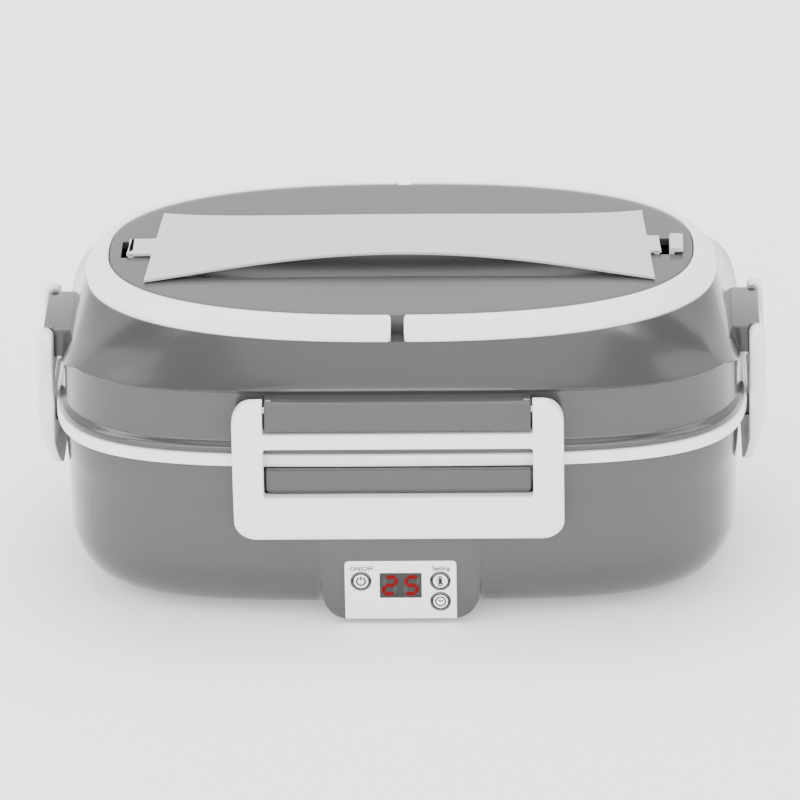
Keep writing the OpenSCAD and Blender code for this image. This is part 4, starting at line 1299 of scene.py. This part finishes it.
class LUNCHBOX_OT_controls(bpy.types.Operator):
    """Makes the control panel, its display with two digits, and the three marked buttons"""
    bl_idname = "lunchbox.controls"
    bl_label = "Control panel"

    def execute(self, context):
        sizes = settings("controls")
        self.panel(sizes)
        self.display(sizes)
        for name in BUTTONS:
            self.button(sizes, name)
        return {"FINISHED"}

    def panel(self, sizes):
        centres = [button_centre(name) for name in BUTTONS]
        around = rounded_box(-sizes.half_width, sizes.bottom, sizes.half_width, sizes.top,
                             (0.5, 1.3, 1.3, 0.5), 6)
        holes = [circle(centre, sizes.button + 0.15 * MM) for centre in centres]
        mesh = front_plate([around, window_outline(), *holes], sizes.thickness, 0.15 * MM, sizes.face)
        add_piece("control_plate", mesh, "base", "panel_plastic", "control_panel")
        ring = arc(0, 0, sizes.button / MM + 0.36, 0, 360, 48)
        marks = [printed_line(ring, 0.42, True, centre) for centre in centres]
        marks += [lettering("ON/OFF", centres[0]), lettering("Setting", centres[1])]
        add_piece("panel_print", printed(marks, sizes.face), "base", "panel_plastic", finish="ink")

    def display(self, sizes):
        lo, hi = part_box("display_window")
        pane = front_plate([window_outline()], hi.y - lo.y, 0.08 * MM, -lo.y)
        add_piece("display_pane", pane, "base", "display", "display_window")
        foot = middle("display_window", "z") - DIGIT_HEIGHT / 2
        for lit, name, finish in ((True, "display_digits", "segment_lit"),
                                  (False, "display_idle_segments", "segment_unlit")):
            bars = [segment_outline(letter, start, foot)
                    for start, digit in zip(DIGIT_STARTS, sizes.reading)
                    for letter in "abcdefg" if (letter in SEGMENTS[digit]) == lit]
            parts = [front_plate([bar], 0.12 * MM, 0.03 * MM, 0.04 * MM - lo.y) for bar in bars]
            add_piece(name, joined(name, parts), "base", "display", finish=finish)

    def button(self, sizes, name):
        centre = button_centre(name)
        face, back, radius = -low(name, "y") / MM, -high(name, "y") / MM, sizes.button / MM
        profile = filleted([(0.4, back, 0), (radius, back, 0.1), (radius, face - 0.12, 0.2),
                            (radius - 0.5, face, 0.3), (0.4, face - 0.05, 0)])
        add_piece(f"{name}_cap", turned(name, profile, centre), name, "panel_plastic", name)
        lines = [(arc(0, 0, radius - 0.24, 0, 360, 48), 0.60, True), *SYMBOLS[name]]
        marks = printed([printed_line(*line, centre) for line in lines], face * MM)
        add_piece(f"{name}_mark", marks, name, "panel_plastic", finish="ink")


class LUNCHBOX_OT_inlet(bpy.types.Operator):
    """Makes the power inlet at the rear, with a rounded flange and a deep socket"""
    bl_idname = "lunchbox.inlet"
    bl_label = "Power inlet"

    def execute(self, context):
        start, reach = low("power_inlet", "y") / MM, high("power_inlet", "y") / MM
        half_z, z = half_span("power_inlet", "z"), middle("power_inlet", "z")
        flat = high("power_inlet", "x") - half_z
        profile = filleted([
            (5, start, 0), (2, start, 0.4), (2, reach - 0.8, 0), (0, reach - 0.8, 0.1), (0, reach, 0.4),
            (3.4, reach, 0.5), (4.1, reach - 1.5, 0.4), (4.25, reach - 7.3, 0.3), (6, reach - 7.3, 0)])
        rings = []
        for shrink, y in profile:
            radius = half_z - shrink
            around = arc(flat, z, radius, -90, 90, 16) + arc(-flat, z, radius, 90, 270, 16)
            rings.append(np.array([(across, y, up) for across, up in around]))
        add_piece("inlet_housing", loft("inlet", rings), "base", "black_plastic", "power_inlet")
        return {"FINISHED"}


class LUNCHBOX_OT_inside(bpy.types.Operator):
    """Gives the heater, board, leads, pins and screws their finishes"""
    bl_idname = "lunchbox.inside"
    bl_label = "Inner parts"

    def execute(self, context):
        slots = {entry["node"]: entry["material_slot"] for entry in frame["record"]["subparts"]}
        for name, node in frame["nodes"].items():
            if node.hide_render:
                continue
            if not node.material_slots:
                raise RuntimeError(f"{name} has no material slot")
            for place in node.material_slots:
                place.material = material(slots[name])
        return {"FINISHED"}


# ---- stage ----

FLOOR_REACH, FLOOR_STEPS = 6.0, 24
SENSOR, PICTURE, SHIFT = 36, 800, (-3.5, -4.2)
SKY, SKY_SEEN, GAP_DEPTH, DIM_DEPTH, GAP_EDGE = 2.1, 3.0, 2.0, 0.8, 0.02

# For each lamp, its place, the point it looks at, its width and height, and its watts.
LAMPS = {
    "key": ((-1.5, -0.5, 1.2), (0, 0, 0.06), (0.9, 1.4), 17),
    "fill": ((1.5, -0.4, 1.1), (0, 0, 0.06), (0.9, 1.4), 9),
    "top": ((0, 0.7, 1.9), (0, 0, 0.08), (1.8, 1.0), 34),
    "front": ((-0.2, -2.2, 0.5), (0, 0, 0.05), (4.0, 0.7), 32),
}


class LUNCHBOX_OT_studio(bpy.types.Operator):
    """Sets the pale floor, the studio light and the camera"""
    bl_idname = "lunchbox.studio"
    bl_label = "Studio"

    def execute(self, context):
        self.floor()
        self.world(context.scene)
        for name, values in LAMPS.items():
            self.lamp(name, *values)
        self.camera(context.scene)
        return {"FINISHED"}

    def floor(self):
        row = FLOOR_STEPS + 1
        places = [-FLOOR_REACH + 2 * FLOOR_REACH * i / FLOOR_STEPS for i in range(row)]
        corners = [j * row + i for j in range(FLOOR_STEPS) for i in range(FLOOR_STEPS)]
        mesh = bpy.data.meshes.new("floor")
        mesh.from_pydata([(x, y, 0) for y in places for x in places], [],
                         [(a, a + 1, a + row + 1, a + row) for a in corners])
        shader = Shader("studio_floor")
        shader.set(base_color=shader.tint(shader.noise(3.0), (0.93, 0.93, 0.93), (0.96, 0.96, 0.96)),
                   roughness=0.9, emission_color=(1.0, 1.0, 1.0, 1.0), emission_strength=0.3)
        mesh.materials.append(shader.owner)
        linked("studio_floor", mesh)

    def world(self, scene):
        """White all round, with a dark gap high at each side for the shoulder to mirror."""
        sky = Shader("studio", world=True)
        way = sky.node("ShaderNodeSeparateXYZ", {}, {0: sky.node("ShaderNodeTexCoord").out("Generated")})
        aside = sky.node("ShaderNodeMath", {"operation": "ABSOLUTE"}, {0: way.out("X")}).out()
        behind = sky.node("ShaderNodeMath", {"operation": "MAXIMUM"}, {0: way.out("Y"), 1: 0.0}).out()
        past_middle = sky.soft_step(aside - way.out("Z") * 0.34 - way.out("Y") * 0.14, 0.0, GAP_EDGE)
        before_side = sky.soft_step(way.out("Z") * 0.48 + behind * 0.62 - aside, 0.0, GAP_EDGE)
        ahead = sky.soft_step(way.out("Z") * 1.3 - way.out("Y"), 0.0, 0.05)
        above = sky.soft_step(way.out("Z"), 0.49, 0.53)
        gap = past_middle * before_side * ahead * above
        dimmer = sky.soft_step(aside, 0.5, 0.95)
        seen = sky.node("ShaderNodeLightPath").out("Is Camera Ray")
        sky.set(strength=(1.0 - seen) * (SKY - gap * GAP_DEPTH - dimmer * DIM_DEPTH) + seen * SKY_SEEN,
                color=(1.0, 1.0, 1.0, 1.0))
        scene.world = sky.owner

    def lamp(self, name, place, target, size, power):
        light = bpy.data.lights.new(name, "AREA")
        light.shape = "RECTANGLE"
        light.size, light.size_y = size
        light.energy = power
        thing = linked(name, light)
        thing.location = place
        thing.rotation_euler = (Vector(target) - Vector(place)).to_track_quat("-Z", "Y").to_euler()
        thing.visible_camera = False

    def camera(self, scene):
        studio = settings("studio")
        camera = bpy.data.cameras.new("camera")
        camera.sensor_width = SENSOR
        camera.lens = studio.lens
        camera.shift_x, camera.shift_y = SHIFT[0] / PICTURE, SHIFT[1] / PICTURE
        camera.clip_end = 30
        thing = linked("camera", camera)
        flat = studio.distance * math.cos(studio.elevation)
        thing.location = (flat * math.sin(studio.heading), -flat * math.cos(studio.heading),
                          studio.target + studio.distance * math.sin(studio.elevation))
        direction = Vector((0, 0, studio.target)) - thing.location
        facing = direction.to_track_quat("-Z", "Y").to_matrix().to_4x4()
        thing.rotation_euler = (facing @ Matrix.Rotation(-studio.roll, 4, "Z")).to_euler()
        scene.camera = thing


# ---- panel and registration ----

OPERATORS = (LUNCHBOX_OT_studio, LUNCHBOX_OT_base, LUNCHBOX_OT_tub, LUNCHBOX_OT_pan, LUNCHBOX_OT_lid,
             LUNCHBOX_OT_liner, LUNCHBOX_OT_top, LUNCHBOX_OT_ring, LUNCHBOX_OT_strap, LUNCHBOX_OT_latches,
             LUNCHBOX_OT_controls, LUNCHBOX_OT_inlet, LUNCHBOX_OT_inside)
GROUPS = {"lunch_body": BodySizes, "lunch_lid": LidSizes, "lunch_strap": StrapSizes,
          "lunch_latch": LatchSizes, "lunch_controls": ControlSizes, "lunch_finishes": Finishes,
          "lunch_studio": StudioSettings}


class LUNCHBOX_PT_pieces(bpy.types.Panel):
    """Lists the lunch box's pieces in the sidebar"""
    bl_idname = "LUNCHBOX_PT_pieces"
    bl_label = "Electric lunch box"
    bl_space_type = "VIEW_3D"
    bl_region_type = "UI"
    bl_category = "Lunch box"

    def draw(self, context):
        for operator in OPERATORS:
            self.layout.operator(operator.bl_idname)


def register():
    for name, group in GROUPS.items():
        bpy.utils.register_class(group)
        setattr(bpy.types.Scene, name, PointerProperty(type=group))
    for operator in (*OPERATORS, LUNCHBOX_PT_pieces):
        bpy.utils.register_class(operator)


def unregister():
    for operator in (LUNCHBOX_PT_pieces, *reversed(OPERATORS)):
        bpy.utils.unregister_class(operator)
    for name, group in GROUPS.items():
        delattr(bpy.types.Scene, name)
        bpy.utils.unregister_class(group)


def main():
    register()
    for operator in OPERATORS:
        group, name = operator.bl_idname.split(".")
        getattr(getattr(bpy.ops, group), name)()


if __name__ == "__main__":
    main()
